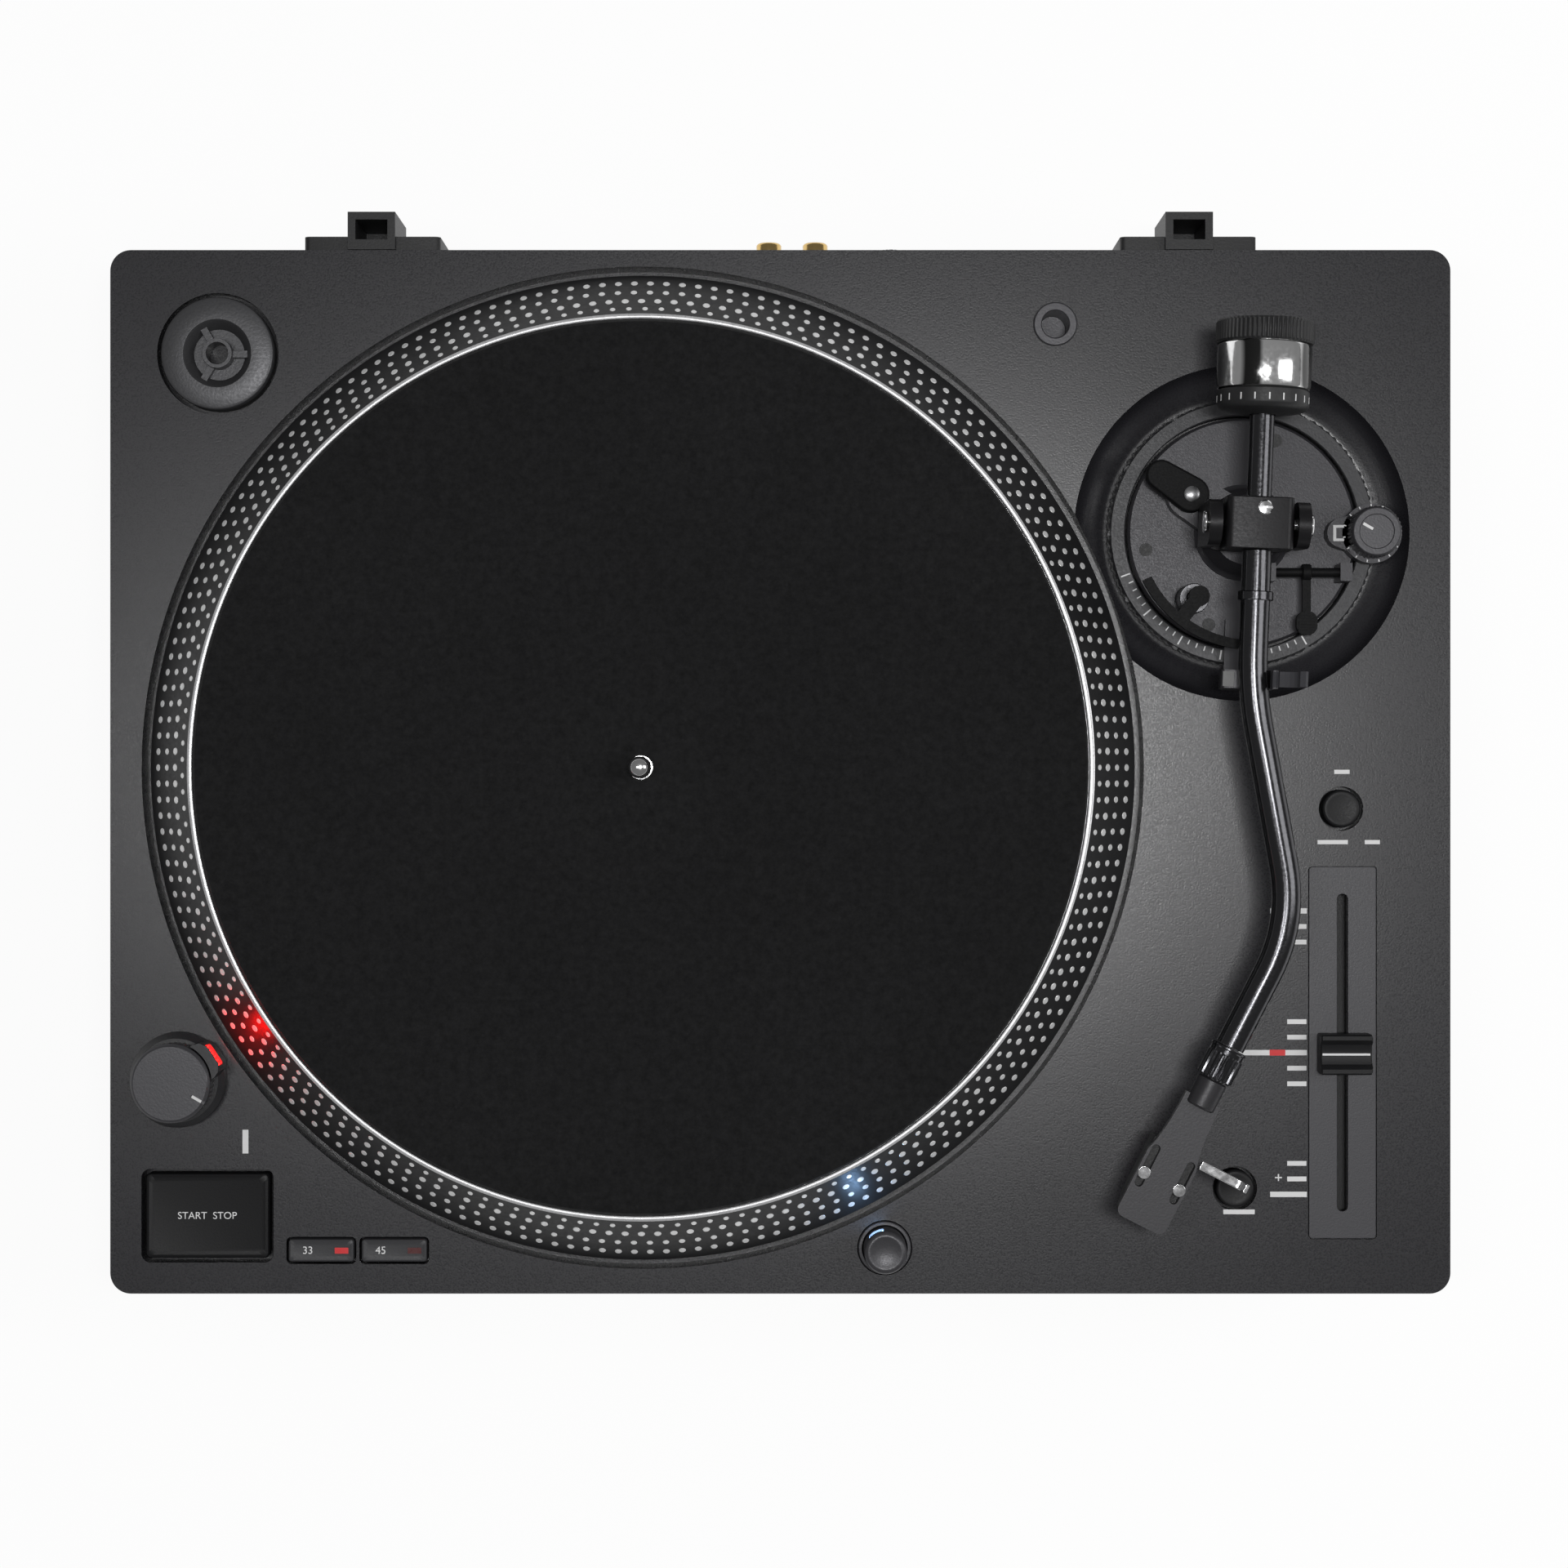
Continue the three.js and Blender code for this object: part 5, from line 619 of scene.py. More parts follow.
# Adapter for large-hole records: turned aluminium with a dished top, three webs and a hub.
# It lies in its own round well in the deck's corner.
adapter_metal = moulded("adapter_metal", (0.1, 0.1, 0.105), 0.42, grain=0.35, grain_size=1100, metallic=0.55,
                        variation=0.2)
adapter_body = turned([(0, 79.3), (18.6, 79.3), (19, 79.7), (19, 87.3), (18.7, 87.9), (17.9, 88.3),
                       (0, 88.3)], ADAPTER, 128)
adapter_dish = turned([(5, 82.9), (8.6, 82.9), (10.9, 87.6), (11.6, 88.4), (11.7, 90.3), (5, 90.3)], ADAPTER)
webs = [moved(tipped(box_of((0, -1.2, 81), (10.4, 1.2, 85.6)), degrees, "Z"), *ADAPTER)
        for degrees in (0, 120, 240)]
adapter_shell = carved(carved(adapter_body, [adapter_dish]), [disc(3.75, 70, 95, ADAPTER)], webs)
settled("record_adapter_puck", adapter_shell, adapter_metal, "record_adapter", "record_adapter",
        0.3, crease=30)


# Power knob and strobe tower: a fixed round housing with a hooded lamp window towards the platter.
# A knurled knob turns on top of it to switch the player on; a red lens closes the window.
TOWER = (-202.5, -110.0)
KNOB_HEADING = -30


def headed(bm, degrees, place):
    """Turns a body made along +X about the upright axis, then carries it to its place."""
    return moved(tipped(bm, degrees, "Z"), *place)


def heading_to(start, end):
    return math.degrees(math.atan2(end[1] - start[1], end[0] - start[0]))


to_platter = heading_to(TOWER, SPINDLE)
charcoal_metal = moulded("charcoal_metal", (0.07, 0.069, 0.075), 0.36, grain=0.2, grain_size=1500,
                         metallic=0.35)
tower_black = moulded("tower_black", (0.022, 0.022, 0.024), 0.4, grain=0.2, grain_size=1500)
tower_base = turned([(0, 86.6), (15.5, 86.6), (16, 87.1), (16, 91.4), (14.1, 93.6), (0, 93.6)], TOWER)
hood_outline = [(0, -6.5), (13.2, -6.5), (15.3, -5.7), (16.8, -3.4), (16.8, 3.4), (15.3, 5.7), (13.2, 6.5),
                (0, 6.5)]
hood = headed(prism(hood_outline, 88, 103.6), to_platter, TOWER)
hood_window = headed(box_of((13.95, -4, 95.1), (18, 4, 102.1)), to_platter, TOWER)
tower = carved(tower_base, [disc(13.75, 93.6, 106, TOWER, 96), hood_window], [hood])
settled("strobe_tower", carved(tower, [], [disc(3.5, 92, 101, TOWER, 32)]), tower_black, "cabinet",
        "strobe_housing", 0.3)
strobe_red = moulded("strobe_red", (0.5, 0.012, 0.01), 0.12, variation=0.2, coat=0.6, glow=(1, 0.004, 0.003),
                     glow_strength=45)
lens_ribs = [box_of((15.3, 1.34 * rib - 3.75, 95.6), (15.7, 1.34 * rib - 2.95, 101.6)) for rib in range(6)]
lens = headed(carved(box_of((14.1, -3.7, 95.4), (15.45, 3.7, 101.8)), [], lens_ribs), to_platter, TOWER)
settled("strobe_lens_red", lens, strobe_red, "cabinet", "strobe_lens", 0.1)
knob_profile = [(0, 93.9), (12.9, 93.9, 1), (12.9, 102.6, 1), (13.2, 102.9), (13.2, 104), (12.6, 104.65),
                (12.2, 104.9), (0, 104.9)]
knob_notch = headed(box_of((8.2, -0.55, 104.1), (14, 0.55, 106)), KNOB_HEADING, TOWER)
knob_cap = carved(turned(knob_profile, TOWER, 192, 0.35), [disc(3.7, 92, 101.6, TOWER, 32), knob_notch])
settled("power_knob_cap", knob_cap, charcoal_metal, "power_knob", "power_knob", 0.12,
        crease=25)
white_ink = moulded("white_ink", (0.92, 0.92, 0.92), 0.5, variation=0.04)
red_ink = moulded("red_ink", (0.8, 0.03, 0.035), 0.5, variation=0.04)
knob_mark = headed(box_of((8.4, -0.5, 104), (12, 0.5, 104.5)), KNOB_HEADING, TOWER)
settled("power_knob_mark", knob_mark, white_ink, "power_knob")


# Start/stop button: a large square key of dark plastic with a softly rounded edge.
# It stands in its own cut-out in the front left corner and is pressed straight down.
key_plastic = moulded("key_plastic", (0.011, 0.011, 0.012), 0.42, grain=0.12, grain_size=1500, variation=0.08,
                      specular=0.25)


def key(width, depth, corner, place, low, high, edge):
    """A pressed key: straight sides, a chamfered shoulder and a very slightly dished top."""
    steps = [(low, 0), (high - edge, 0), (high - edge * 0.35, edge * 0.3), (high, edge),
             (high - 0.25, edge + 1.1)]
    outline = rounded_outline(width, depth, corner)
    return skinned([[(place[0] + x * (1 - 2 * inset / width), place[1] + y * (1 - 2 * inset / depth), height)
                     for x, y in outline] for height, inset in steps], capped=True)


def printed(name, words, x, y, height, size, finish, body):
    """Characters of thin ink that stand just above a surface, in millimetres."""
    curve = bpy.data.curves.new(name, "FONT")
    curve.body = words
    curve.size = size * MM
    curve.extrude = 0.04 * MM
    curve.align_x = "CENTER"
    curve.align_y = "CENTER"
    mesh = frozen(linked(name + "_curve", curve))
    mesh.transform(Matrix.Translation((x * MM, y * MM, height * MM)))
    mesh.name = name
    mesh.materials.clear()
    mesh.materials.append(finish)
    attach(linked(name, mesh), body)


settled("start_stop_key", key(41.6, 28.6, 1.5, START_KEY, 79.9, 86.9, 1.2), key_plastic, "start_stop_button",
        "start_stop_button")


# Speed buttons: two narrow keys of grey-black plastic beside the start button, one for each speed.
# Each has a printed numeral and a small red lamp, of which only the first is lit.
# The words on the start button are printed after them, in the same white ink.
key_grey = moulded("key_grey", (0.05, 0.05, 0.054), 0.45, grain=0.15, grain_size=1500, specular=0.4)
unlit_lamp = moulded("unlit_lamp", (0.09, 0.012, 0.012), 0.3)


def dash(name, low, high, finish, body):
    """A flat printed bar, as thin as ink."""
    settled(name, box_of(low, high), finish, body)


for numeral, (x, y), lamp_ink in (("33", SPEED_33, red_ink), ("45", SPEED_45, unlit_lamp)):
    speed = "speed_" + numeral
    settled(speed + "_key", key(22, 7.6, 1, (x, y), 81.1, 87.1, 0.7), key_grey, speed + "_button",
            speed + "_button")
    printed(speed + "_numeral", numeral, x - 4.5, y, 86.93, 3.6, white_ink, speed + "_button")
    dash(speed + "_lamp", (x + 4.6, y - 1, 86.9), (x + 9.2, y + 1, 87.05), lamp_ink, speed + "_button")
printed("start_stop_label", "START  STOP", *START_KEY, 86.72, 3.4, white_ink, "start_stop_button")


# Quartz lock and pitch range buttons: two small round keys on the right of the deck.
# Each is moulded in black plastic and pressed straight down in its own hole.
round_key = [(0, 80.7), (6.4, 80.7), (6.4, 86.8), (6.25, 87.25), (5.9, 87.6), (5.4, 87.7), (4.6, 87.62),
             (0, 87.35)]
for name, place in {"quartz": QUARTZ, "pitch_range": RANGE}.items():
    settled(name + "_cap", turned(round_key, place, 64), key_plastic, name + "_button", name + "_button")


# Target light: a slim tube that rises out of the deck, with a clear window turned to the mat.
# A plain ring in the deck guides it, and pressing the tube sinks it again.
to_mat = heading_to(TARGET_LIGHT, SPINDLE)
light_tube = turned([(0, 71.3), (7.2, 71.3), (7.2, 98.1), (6.85, 98.8), (6, 99.3), (5.2, 99.3), (4.6, 99),
                     (0, 99)], TARGET_LIGHT, 72)
light_window = headed(box_of((4.6, -2.7, 91.7), (9, 2.7, 96.7)), to_mat, TARGET_LIGHT)
settled("target_light_stem", carved(light_tube, [light_window]), charcoal_metal, "target_light",
        "target_light_tube", 0.12)
clear_lens = moulded("clear_lens", (0.75, 0.82, 0.95), 0.06, variation=0.05, coat=0.4, glow=(0.35, 0.6, 1),
                     glow_strength=30)
light_lens = headed(box_of((4.9, -2.4, 92), (6.3, 2.4, 96.4)), to_mat, TARGET_LIGHT)
settled("target_light_window", light_lens, clear_lens, "target_light", "target_light_lens", 0.3)
light_ring = turned([(7.6, 82.3), (8.95, 82.3), (8.95, 86.7), (8.6, 87.1), (7.8, 87.1), (7.6, 86.9)],
                    TARGET_LIGHT, 72)
settled("target_light_ring", light_ring, charcoal_metal, "cabinet", "target_light_collar")


# Tempo slider: a long panel let into the deck, a steel track below it and a dished cap on a flat stem.
# The printed scale stands beside the panel on the deck.
panel_finish = moulded("tempo_panel_paint", (0.056, 0.055, 0.062), 0.4, grain=0.2, grain_size=1700,
                       variation=0.05)
panel_slot = slab(3.6, 107, 1.7, 80, ABOVE_DECK, SLIDER, 6)
settled("tempo_panel_plate", carved(slab(22.6, 125.3, 1.2, 84.9, DECK_TOP, SLIDER, 6), [panel_slot]),
        panel_finish, "cabinet", "tempo_panel", 0.2)
HALF_CAP = 6.75
rear_side = [(HALF_CAP, 87.1), (HALF_CAP, 95.3), (6.2, 96.1), (4.9, 96.1), (3.3, 94.4), (1.5, 93.95)]
cap_side = [(-HALF_CAP, 87.1), *rear_side, (0, 93.9), *[(-y, z) for y, z in rear_side[:0:-1]]]
cap_rings = [[(SLIDER[0] + across, SLIDER[1] + y * (1 - shrink / HALF_CAP), z if z < 88 else z - shrink * 0.6)
              for y, z in cap_side] for across, shrink in [(-8.65, 0.75), (-8.2, 0), (8.2, 0), (8.65, 0.75)]]
cap_stem = box_of((188.6, -103.7, 77.3), (190.6, -98.7, 88.2))
settled("tempo_fader_cap", carved(skinned(cap_rings, capped=True), [], [cap_stem]), key_plastic,
        "tempo_slider", "tempo_slider", crease=30)
dash("tempo_fader_line", (181.6, -101.55, 93.88), (197.6, -100.85, 94), white_ink, "tempo_slider")


# Spare headshell socket: a round tube let into the deck's rear right corner, with a raised lip.
# It is empty, and a spare headshell can stand in it with its connector down.
socket_profile = [(4.6, 72.5), (4.6, 87.5), (4.9, 87.8), (7, 87.8), (7.4, 87.4), (7.4, 86.6), (6.2, 86.6),
                  (6.2, 71.3), (0, 71.3), (0, 72.5)]
settled("spare_socket", turned(socket_profile, SPARE_SOCKET, 72), charcoal_metal, "cabinet",
        "headshell_socket", 0.12)


# Printed marks on the deck: white ink ticks beside the tempo slider and at the small buttons.
# Geometry Nodes set the fine ticks at an even pitch, and the longer bars are laid singly.
def row_of_ticks():
    tree, ends, stand = growing("row_of_ticks", {
        "Length": "Float", "Width": "Float", "Thickness": "Float", "Pitch": "Float", "Ticks": "Int",
        "Start": "Vector",
    })
    row = node(tree, "GeometryNodeMeshLine")
    step = node(tree, "ShaderNodeCombineXYZ")
    size = node(tree, "ShaderNodeCombineXYZ")
    bar = node(tree, "GeometryNodeMeshCube")
    joined(tree, (ends, "Ticks", row, "Count"), (ends, "Start", row, "Start Location"),
           (ends, "Pitch", step, "Y"), (step, 0, row, "Offset"), (row, "Mesh", stand, "Points"),
           (ends, "Length", size, "X"), (ends, "Width", size, "Y"), (ends, "Thickness", size, "Z"),
           (size, 0, bar, "Size"), (bar, "Mesh", stand, "Instance"))
    return tree


def deck_mark(name, left, front, right, rear, finish, lift=0.0):
    """A printed bar on the deck between two corners; lift raises it above another bar's ink."""
    low = DECK_TOP - 0.02 + lift
    dash(name, (left, front, low), (right, rear, low + 0.07), finish, "cabinet")


tick_tree = row_of_ticks()
tick_starts = {"rear_end": -63.9, "centre_rear": -96, "centre_front": -111.7, "front_end": -143.8}
for end, start_y in tick_starts.items():
    grown(f"tempo_ticks_{end}", bpy.data.meshes.new("tick_seat"), tick_tree, {
        "Length": 6.5 * MM, "Width": 1.6 * MM, "Thickness": 0.06 * MM, "Pitch": 5.25 * MM, "Ticks": 2,
        "Start": (174.2 * MM, start_y * MM, (DECK_TOP + 0.02) * MM), "Finish": white_ink,
    }, "cabinet")
for y, left in [(-149, 165.2), (SLIDER[1], 154.6), (-53.4, 165.2)]:
    deck_mark(f"tempo_bar_{round(-y)}", left, y - 0.9, 177.6, y + 0.9, white_ink)
deck_mark("tempo_bar_centre_red", 165, SLIDER[1] - 1, 170.3, SLIDER[1] + 1, red_ink, 0.01)
small_marks = {"range_mark": (149.4, -155.7, 160, -154.1), "quartz_mark_left": (181.2, -30.9, 191.4, -29.5),
               "quartz_mark_right": (197.1, -30.9, 202.2, -29.5), "quartz_mark_rear": (186.8, -7.2, 192, -5.8),
               "power_mark": (-181.4, -135.2, -179.4, -127.2)}
for name, corners in small_marks.items():
    deck_mark(name, *corners, white_ink)
printed("tempo_plus", "+", 168, -143.6, DECK_TOP, 5, white_ink, "cabinet")
printed("tempo_minus", "-", 168, -58.6, DECK_TOP, 5, white_ink, "cabinet")


# Height ring: a knurled ring round the arm's base, which the hand turns to raise or lower the arm.
# It is cast and painted, with grip notches and white scale marks on its top.
RING_INK = 86.98
ring_paint = moulded("ring_paint", (0.035, 0.035, 0.038), 0.4, grain=0.25, grain_size=1500, metallic=0.2)
ring_profile = [(39.4, 79.6), (44.4, 79.6), (45, 80.2, 1), (45, 85.8, 1), (44.1, 87), (39.8, 87),
                (39.4, 86.6)]
grip_notches = [headed(box_of((44.1, -1, 83.3), (46, 1, 88)), 30 * twelfth, PIVOT) for twelfth in range(12)]
knurled_ring = moved(turned(ring_profile, sides=384, tooth=0.4), *PIVOT)
settled("height_ring_rim", carved(knurled_ring, grip_notches), ring_paint, "height_ring", "height_ring",
        crease=25)


def marks_round(inner, outer, width, low, high, angles, place=(0, 0)):
    """Short radial bars on a circle, all in one mesh; the angles are in degrees."""
    marks = bmesh.new()
    for angle in angles:
        bar = headed(box_of((inner, -width / 2, low), (outer, width / 2, high)), angle, place)
        scratch = bpy.data.meshes.new("bar")
        bar.to_mesh(scratch)
        bar.free()
        marks.from_mesh(scratch)
        bpy.data.meshes.remove(scratch)
    return marks


long_marks = marks_round(40.2, 43.4, 0.5, RING_INK, RING_INK + 0.07, range(-160, -40, 20), PIVOT)
short_marks = marks_round(40.2, 41.8, 0.4, RING_INK, RING_INK + 0.07,
                          [a for a in range(-160, -58, 4) if a % 20], PIVOT)
settled("height_scale_long", long_marks, white_ink, "height_ring")
settled("height_scale_short", short_marks, white_ink, "height_ring")


# Arm base: a cast plate on a stem that the height ring lifts, with the pillar, bridge and dial foot on it.
# The cue lever's two posts and the arm rest's column stand on the same casting.
PLATE_TOP = 87.1
ROOT = 86.1
CRADLE = 118.9
ARM_REST = -2.2
BRIDGE_HEADING = 147
DIAL_HEADING = -1
CUE_Y = -14
CUE_Z = 97.1


def lozenge(start, start_radius, end, end_radius):
    """Outline of a bar with two round ends of their own radii."""
    steps = 20
    heading = math.atan2(end[1] - start[1], end[0] - start[0])
    lean = math.acos((start_radius - end_radius) / math.dist(start, end))
    points = []
    for centre, radius, first, last in [(start, start_radius, heading + lean, heading + math.tau - lean),
                                        (end, end_radius, heading - lean, heading + lean)]:
        angles = [math.degrees(first + (last - first) * i / steps) for i in range(steps + 1)]
        points += arc(radius, angles, centre)
    return points


def at_pivot(reach, degrees):
    """A place seen from the arm's pivot, in millimetres."""
    return arc(reach, [degrees], PIVOT)[0]


def rod(radius, start, stop, y=0.0, z=0.0, sides=40, edge=0.0):
    """A rod along X, with its ends chamfered where edge is given."""
    profile = [(0, start), (radius - edge, start), (radius, start + edge), (radius, stop - edge),
               (radius - edge, stop), (0, stop)]
    return moved(tipped(turned(profile, sides=sides), 90, "Y"), 0, y, z)


arm_base_paint = moulded("arm_base_paint", (0.042, 0.041, 0.046), 0.38, grain=0.2, grain_size=1600,
                         metallic=0.3)
plate_profile = [(0, 62.1), (17.4, 62.1), (18, 62.7), (18, 82.1), (38.1, 82.1), (38.6, 82.6), (38.6, 86.2),
                 (37.7, PLATE_TOP), (0, PLATE_TOP)]
pillar_profile = [(0, 86.4), (16.4, 86.4), (16.1, 87.5), (14.9, 88.3), (14.3, 89.6), (12.3, 98.9),
                  (11.6, 100.1), (0, 100.1)]
lock_place = at_pivot(22, BRIDGE_HEADING)
dial_place = at_pivot(42.5, DIAL_HEADING)
dial_root = at_pivot(32.5, DIAL_HEADING)
rest_side = [(-4.9, 87.5), (4.1, 87.5), (8.4, 111.9), (8.4, 125.1), (7.6, 125.9), (6.6, 125.9), (5.8, 125.1),
             (5.8, 120.2), (5.0, 119.2), (3.8, CRADLE), (-8.4, CRADLE), (-9.2, 118.1), (-9.2, 111.9)]
base_parts = [
    turned(pillar_profile, PIVOT), prism(lozenge(PIVOT, 8.5, lock_place, 7.5), ROOT, 94.1),
    disc(10, 87.4, 94.4, dial_place, 64), disc(5, ROOT, 94.4, dial_root),
    prism(lozenge(dial_root, 5, at_pivot(36, DIAL_HEADING), 6), 87, 93.6), disc(2, 90, 100.9, dial_place, 32),
    headed(box_of((-4.9, -53.5, 87.4), (4.1, -29.6, 90.8)), ARM_REST, PIVOT),
    headed(box_of((-4.9, -37.5, ROOT), (4.1, -29.6, 89.8)), ARM_REST, PIVOT),
    headed(moved(tipped(prism(rest_side, 0, 6), 90, "X"), 0, -47.5), ARM_REST, PIVOT),
]
base_parts += [moved(box_of((x - 2, -17, ROOT), (x + 2, -11, 99.9)), *PIVOT) for x in (7.5, 33)]
cue_bore = moved(rod(1.65, 0, 40, CUE_Y, CUE_Z), *PIVOT)
arm_casting = carved(turned(plate_profile, PIVOT, 192), [cue_bore, disc(4.15, 89.8, 105, PIVOT)], base_parts)
settled("arm_base_casting", arm_casting, arm_base_paint, "arm_base", "arm_base", 0.3)
rest_pad_grey = moulded("rest_pad_grey", (0.28, 0.28, 0.28), 0.6, grain=0.3, grain_size=900)
rest_pad = headed(box_of((-8.9, -53, 118.7), (-5.2, -48, 119.25)), ARM_REST, PIVOT)
settled("rest_pad", rest_pad, rest_pad_grey, "arm_base", round_off=0.15)
plate_screws = [at_pivot(33, degrees) for degrees in (70, 190, 250)]
screw_heads("plate_screws", plate_screws, 2.2, 0.5, PLATE_TOP - 0.05, soft_black, "arm_base")


# Height lock lever: a short moulded lever on the bridge that clamps the height ring.
# A screw holds its hub.
matt_black = moulded("matt_black_plastic", (0.006, 0.006, 0.0065), 0.55, grain=0.2, grain_size=1500,
                     specular=0.15)
lock_outline = lozenge(lock_place, 6, at_pivot(34, BRIDGE_HEADING), 5)
settled("height_lock_grip", prism(lock_outline, 94.4, 99.4), matt_black, "lock_lever", "height_lock_lever",
        0.9)
lock_screw = turned([(0, 99.2), (2.6, 99.2), (2.6, 99.7), (2.2, 100), (0, 100.1)], lock_place, 40)
settled("height_lock_screw", lock_screw, screw_steel, "lock_lever")


# Anti-skate dial: a knurled turned knob on its foot at the right of the base.
# A white line on its top points at the scale round it, and a white bracket marks the base beside it.
FOOT_INK = 94.38
dial_profile = [(0, 94.7), (8.2, 94.7), (8.6, 95.1, 1), (8.6, 102.3, 1), (8.3, 102.7), (7.9, 103.5),
                (7.6, 103.7), (5.9, 103.7), (5.6, 103.4), (0, 103.4)]
dial = carved(turned(dial_profile, dial_place, 144, 0.35), [disc(2.15, 94, 101.2, dial_place, 32)])
settled("anti_skate_knob", dial, charcoal_metal, "anti_skate", "anti_skate_dial", crease=25)
dial_mark = headed(box_of((1.5, -0.45, 103.3), (5.2, 0.45, 103.5)), 150, dial_place)
settled("anti_skate_mark", dial_mark, white_ink, "anti_skate")
for number, (left, front, right, rear) in enumerate([(185.1, 70.7, 186.1, 76.1), (186.1, 70.7, 188.7, 71.6),
                                                     (186.1, 75.2, 188.7, 76.1)]):
    dash(f"anti_skate_index_{number}", (left, front, FOOT_INK), (right, rear, FOOT_INK + 0.1), white_ink,
         "arm_base")
dial_scale = marks_round(9, 9.8, 0.4, FOOT_INK, FOOT_INK + 0.07, range(20, 340, 24), dial_place)
settled("anti_skate_scale", dial_scale, white_ink, "arm_base")


# Cue lever: a blackened shaft in the two posts, with an arm and a finger plate of the same matt black.
# The finger plate has three ridges across it.
cue_parts = [rod(2.8, 18.5, 21.5, CUE_Y, CUE_Z, edge=0.3), box_of((18.6, -35, 96.05), (21.4, CUE_Y, 98.15)),
             slab(7, 8, 3.2, 96, 99, (20, -31))]
cue_parts += [box_of((17.2, y - 0.4, 98.7), (22.8, y + 0.4, 99.3)) for y in (-33, -31, -29)]
cue_body = carved(rod(1.5, 5.5, 35, CUE_Y, CUE_Z, 32, 0.3), [], cue_parts)
settled("cue_lever_arm", moved(cue_body, *PIVOT), matt_black, "cue_lever", "cue_lever", 0.25)


# Lift bar and cylinder: a curved bar under the tube on a plunger that rises out of an oil-damped cylinder.
# The bar is black, and the plunger and cylinder are steel.
STRUT_HEADING = -128
BAR_LOW = 112.5
BAR_HIGH = 114.9
cue_steel = moulded("cue_steel", (0.09, 0.09, 0.095), 0.3, grain=0.1, grain_size=900, metallic=0.9)
lift_outline = arc(40.6, range(-154, -85, 2)) + arc(37.4, range(-86, -155, -2))
lift_strut = tipped(box_of((28, -2.4, BAR_LOW), (38.5, 2.4, BAR_HIGH)), STRUT_HEADING, "Z")
lift_cap = disc(3.4, BAR_LOW, BAR_HIGH, arc(29, [STRUT_HEADING])[0])
lift_bar = carved(prism(lift_outline, BAR_LOW, BAR_HIGH), [], [lift_strut, lift_cap])
settled("lift_bar_arc", moved(lift_bar, *PIVOT), matt_black, "lift_bar", "lift_bar", 0.4)
lift_place = at_pivot(29, STRUT_HEADING)
settled("lift_plunger", turned([(0, 94.1), (2.4, 94.1), (2.4, 112.7), (0, 112.7)], lift_place, 48),
        bright_steel, "lift_bar")
cylinder_profile = [(0, 87.4), (5, 87.4), (5, 88.2), (4.7, 88.5), (4.7, 99.6), (5, 99.9), (5, 100.8),
                    (4.7, 101.1), (2.75, 101.1), (2.75, 93.8), (0, 93.8)]
settled("lift_cylinder_cup", turned(cylinder_profile, lift_place, 64), cue_steel, "arm_base", "lift_cylinder")


# Gimbal yoke: a machined fork that turns on the pillar, with a shaft below and a hole in each cheek.
# Two slotted pivot screws in the cheeks hold the bearing block.
AXIS_Z = 124.3
YOKE_LOW = -23.9
ON_EDGE = Matrix(((0, 0, 1, 0), (1, 0, 0, 0), (0, 1, 0, 0), (0, 0, 0, 1)))


def on_arm(bm):
    """Carries a body made round the pivot axes' crossing to the resting arm's place."""
    spin = Matrix.Rotation(math.radians(ARM_REST), 4, "Z")
    seat = Matrix.Translation((PIVOT[0] * MM, PIVOT[1] * MM, AXIS_Z * MM)) @ spin
    bmesh.ops.transform(bm, matrix=seat, verts=bm.verts)
    return bm


def upright(outline, start, stop):
    """A prism of a (y, z) outline between two places along X."""
    bm = prism(outline, start, stop)
    bmesh.ops.transform(bm, matrix=ON_EDGE, verts=bm.verts)
    return bm


gimbal_dark = moulded("gimbal_dark", (0.018, 0.0175, 0.019), 0.36, grain=0.12, grain_size=1200, metallic=0.3,
                      variation=0.08, specular=0.25)
cheek_outline = [(-6.5, YOKE_LOW), (6.5, YOKE_LOW), *arc(7.5, range(0, 181, 10))]
yoke_parts = [upright(cheek_outline, x, x + 4.2) for x in (12.3, -16.5)] + [disc(4, -33.9, -22.6)]
yoke = carved(slab(33, 15, 7.2, YOKE_LOW, -21.3), [rod(1.95, -20, 20, sides=32)], yoke_parts)
settled("gimbal_fork", on_arm(yoke), gimbal_dark, "gimbal", "gimbal_yoke", 0.5)
for side, facing in (("right", 0), ("left", 180)):
    screw_slot = box_of((17.3, -3.2, -0.4), (18.5, 3.2, 0.4))
    pivot_screw = carved(rod(1.8, 11.3, 17.3, sides=32, edge=0.3), [screw_slot],
                         [rod(3.6, 16.8, 17.8, edge=0.3)])
    settled(f"pivot_screw_{side}_steel", on_arm(tipped(pivot_screw, facing, "Z")), bright_steel, "gimbal",
            "pivot_screw_" + side)


# Bearing block: a machined block with rounded edges that pitches between the pivot screws.
# The tube and the rear shaft are fixed in its two ends, and a bright set screw stands on its rear edge.
block = tipped(slab(22, 13.5, 2.5, -8.5, 8.5, steps=6), 90, "X")
block_dimples = [rod(1.1, x - 0.9, x + 0.9, sides=24) for x in (-11, 11)]
settled("bearing_block_metal", on_arm(carved(block, block_dimples)), gimbal_dark, "tonearm", "bearing_block",
        1.0)
set_screw = turned([(0, 6.3), (2.4, 6.3), (2.4, 7.1), (2, 7.5), (0, 7.7)], (1.2, 4.9), 40)
set_screw = carved(set_screw, [box_of((-1.8, 4.55, 7.2), (4.2, 5.25, 8.5))])
settled("bearing_block_screw", on_arm(set_screw), bright_steel, "tonearm", crease=30)


# Arm tube: a drawn aluminium tube with two bends, so that it is S-shaped, and a band near the block.
# A curve is swept to a tube and kept as a mesh.
FIRST_TURN = 12.5
HEAD_TURN = -25
FIRST_CORNER = Vector((0, -54, 0))
APEX = Vector((16.63, -129, 0))


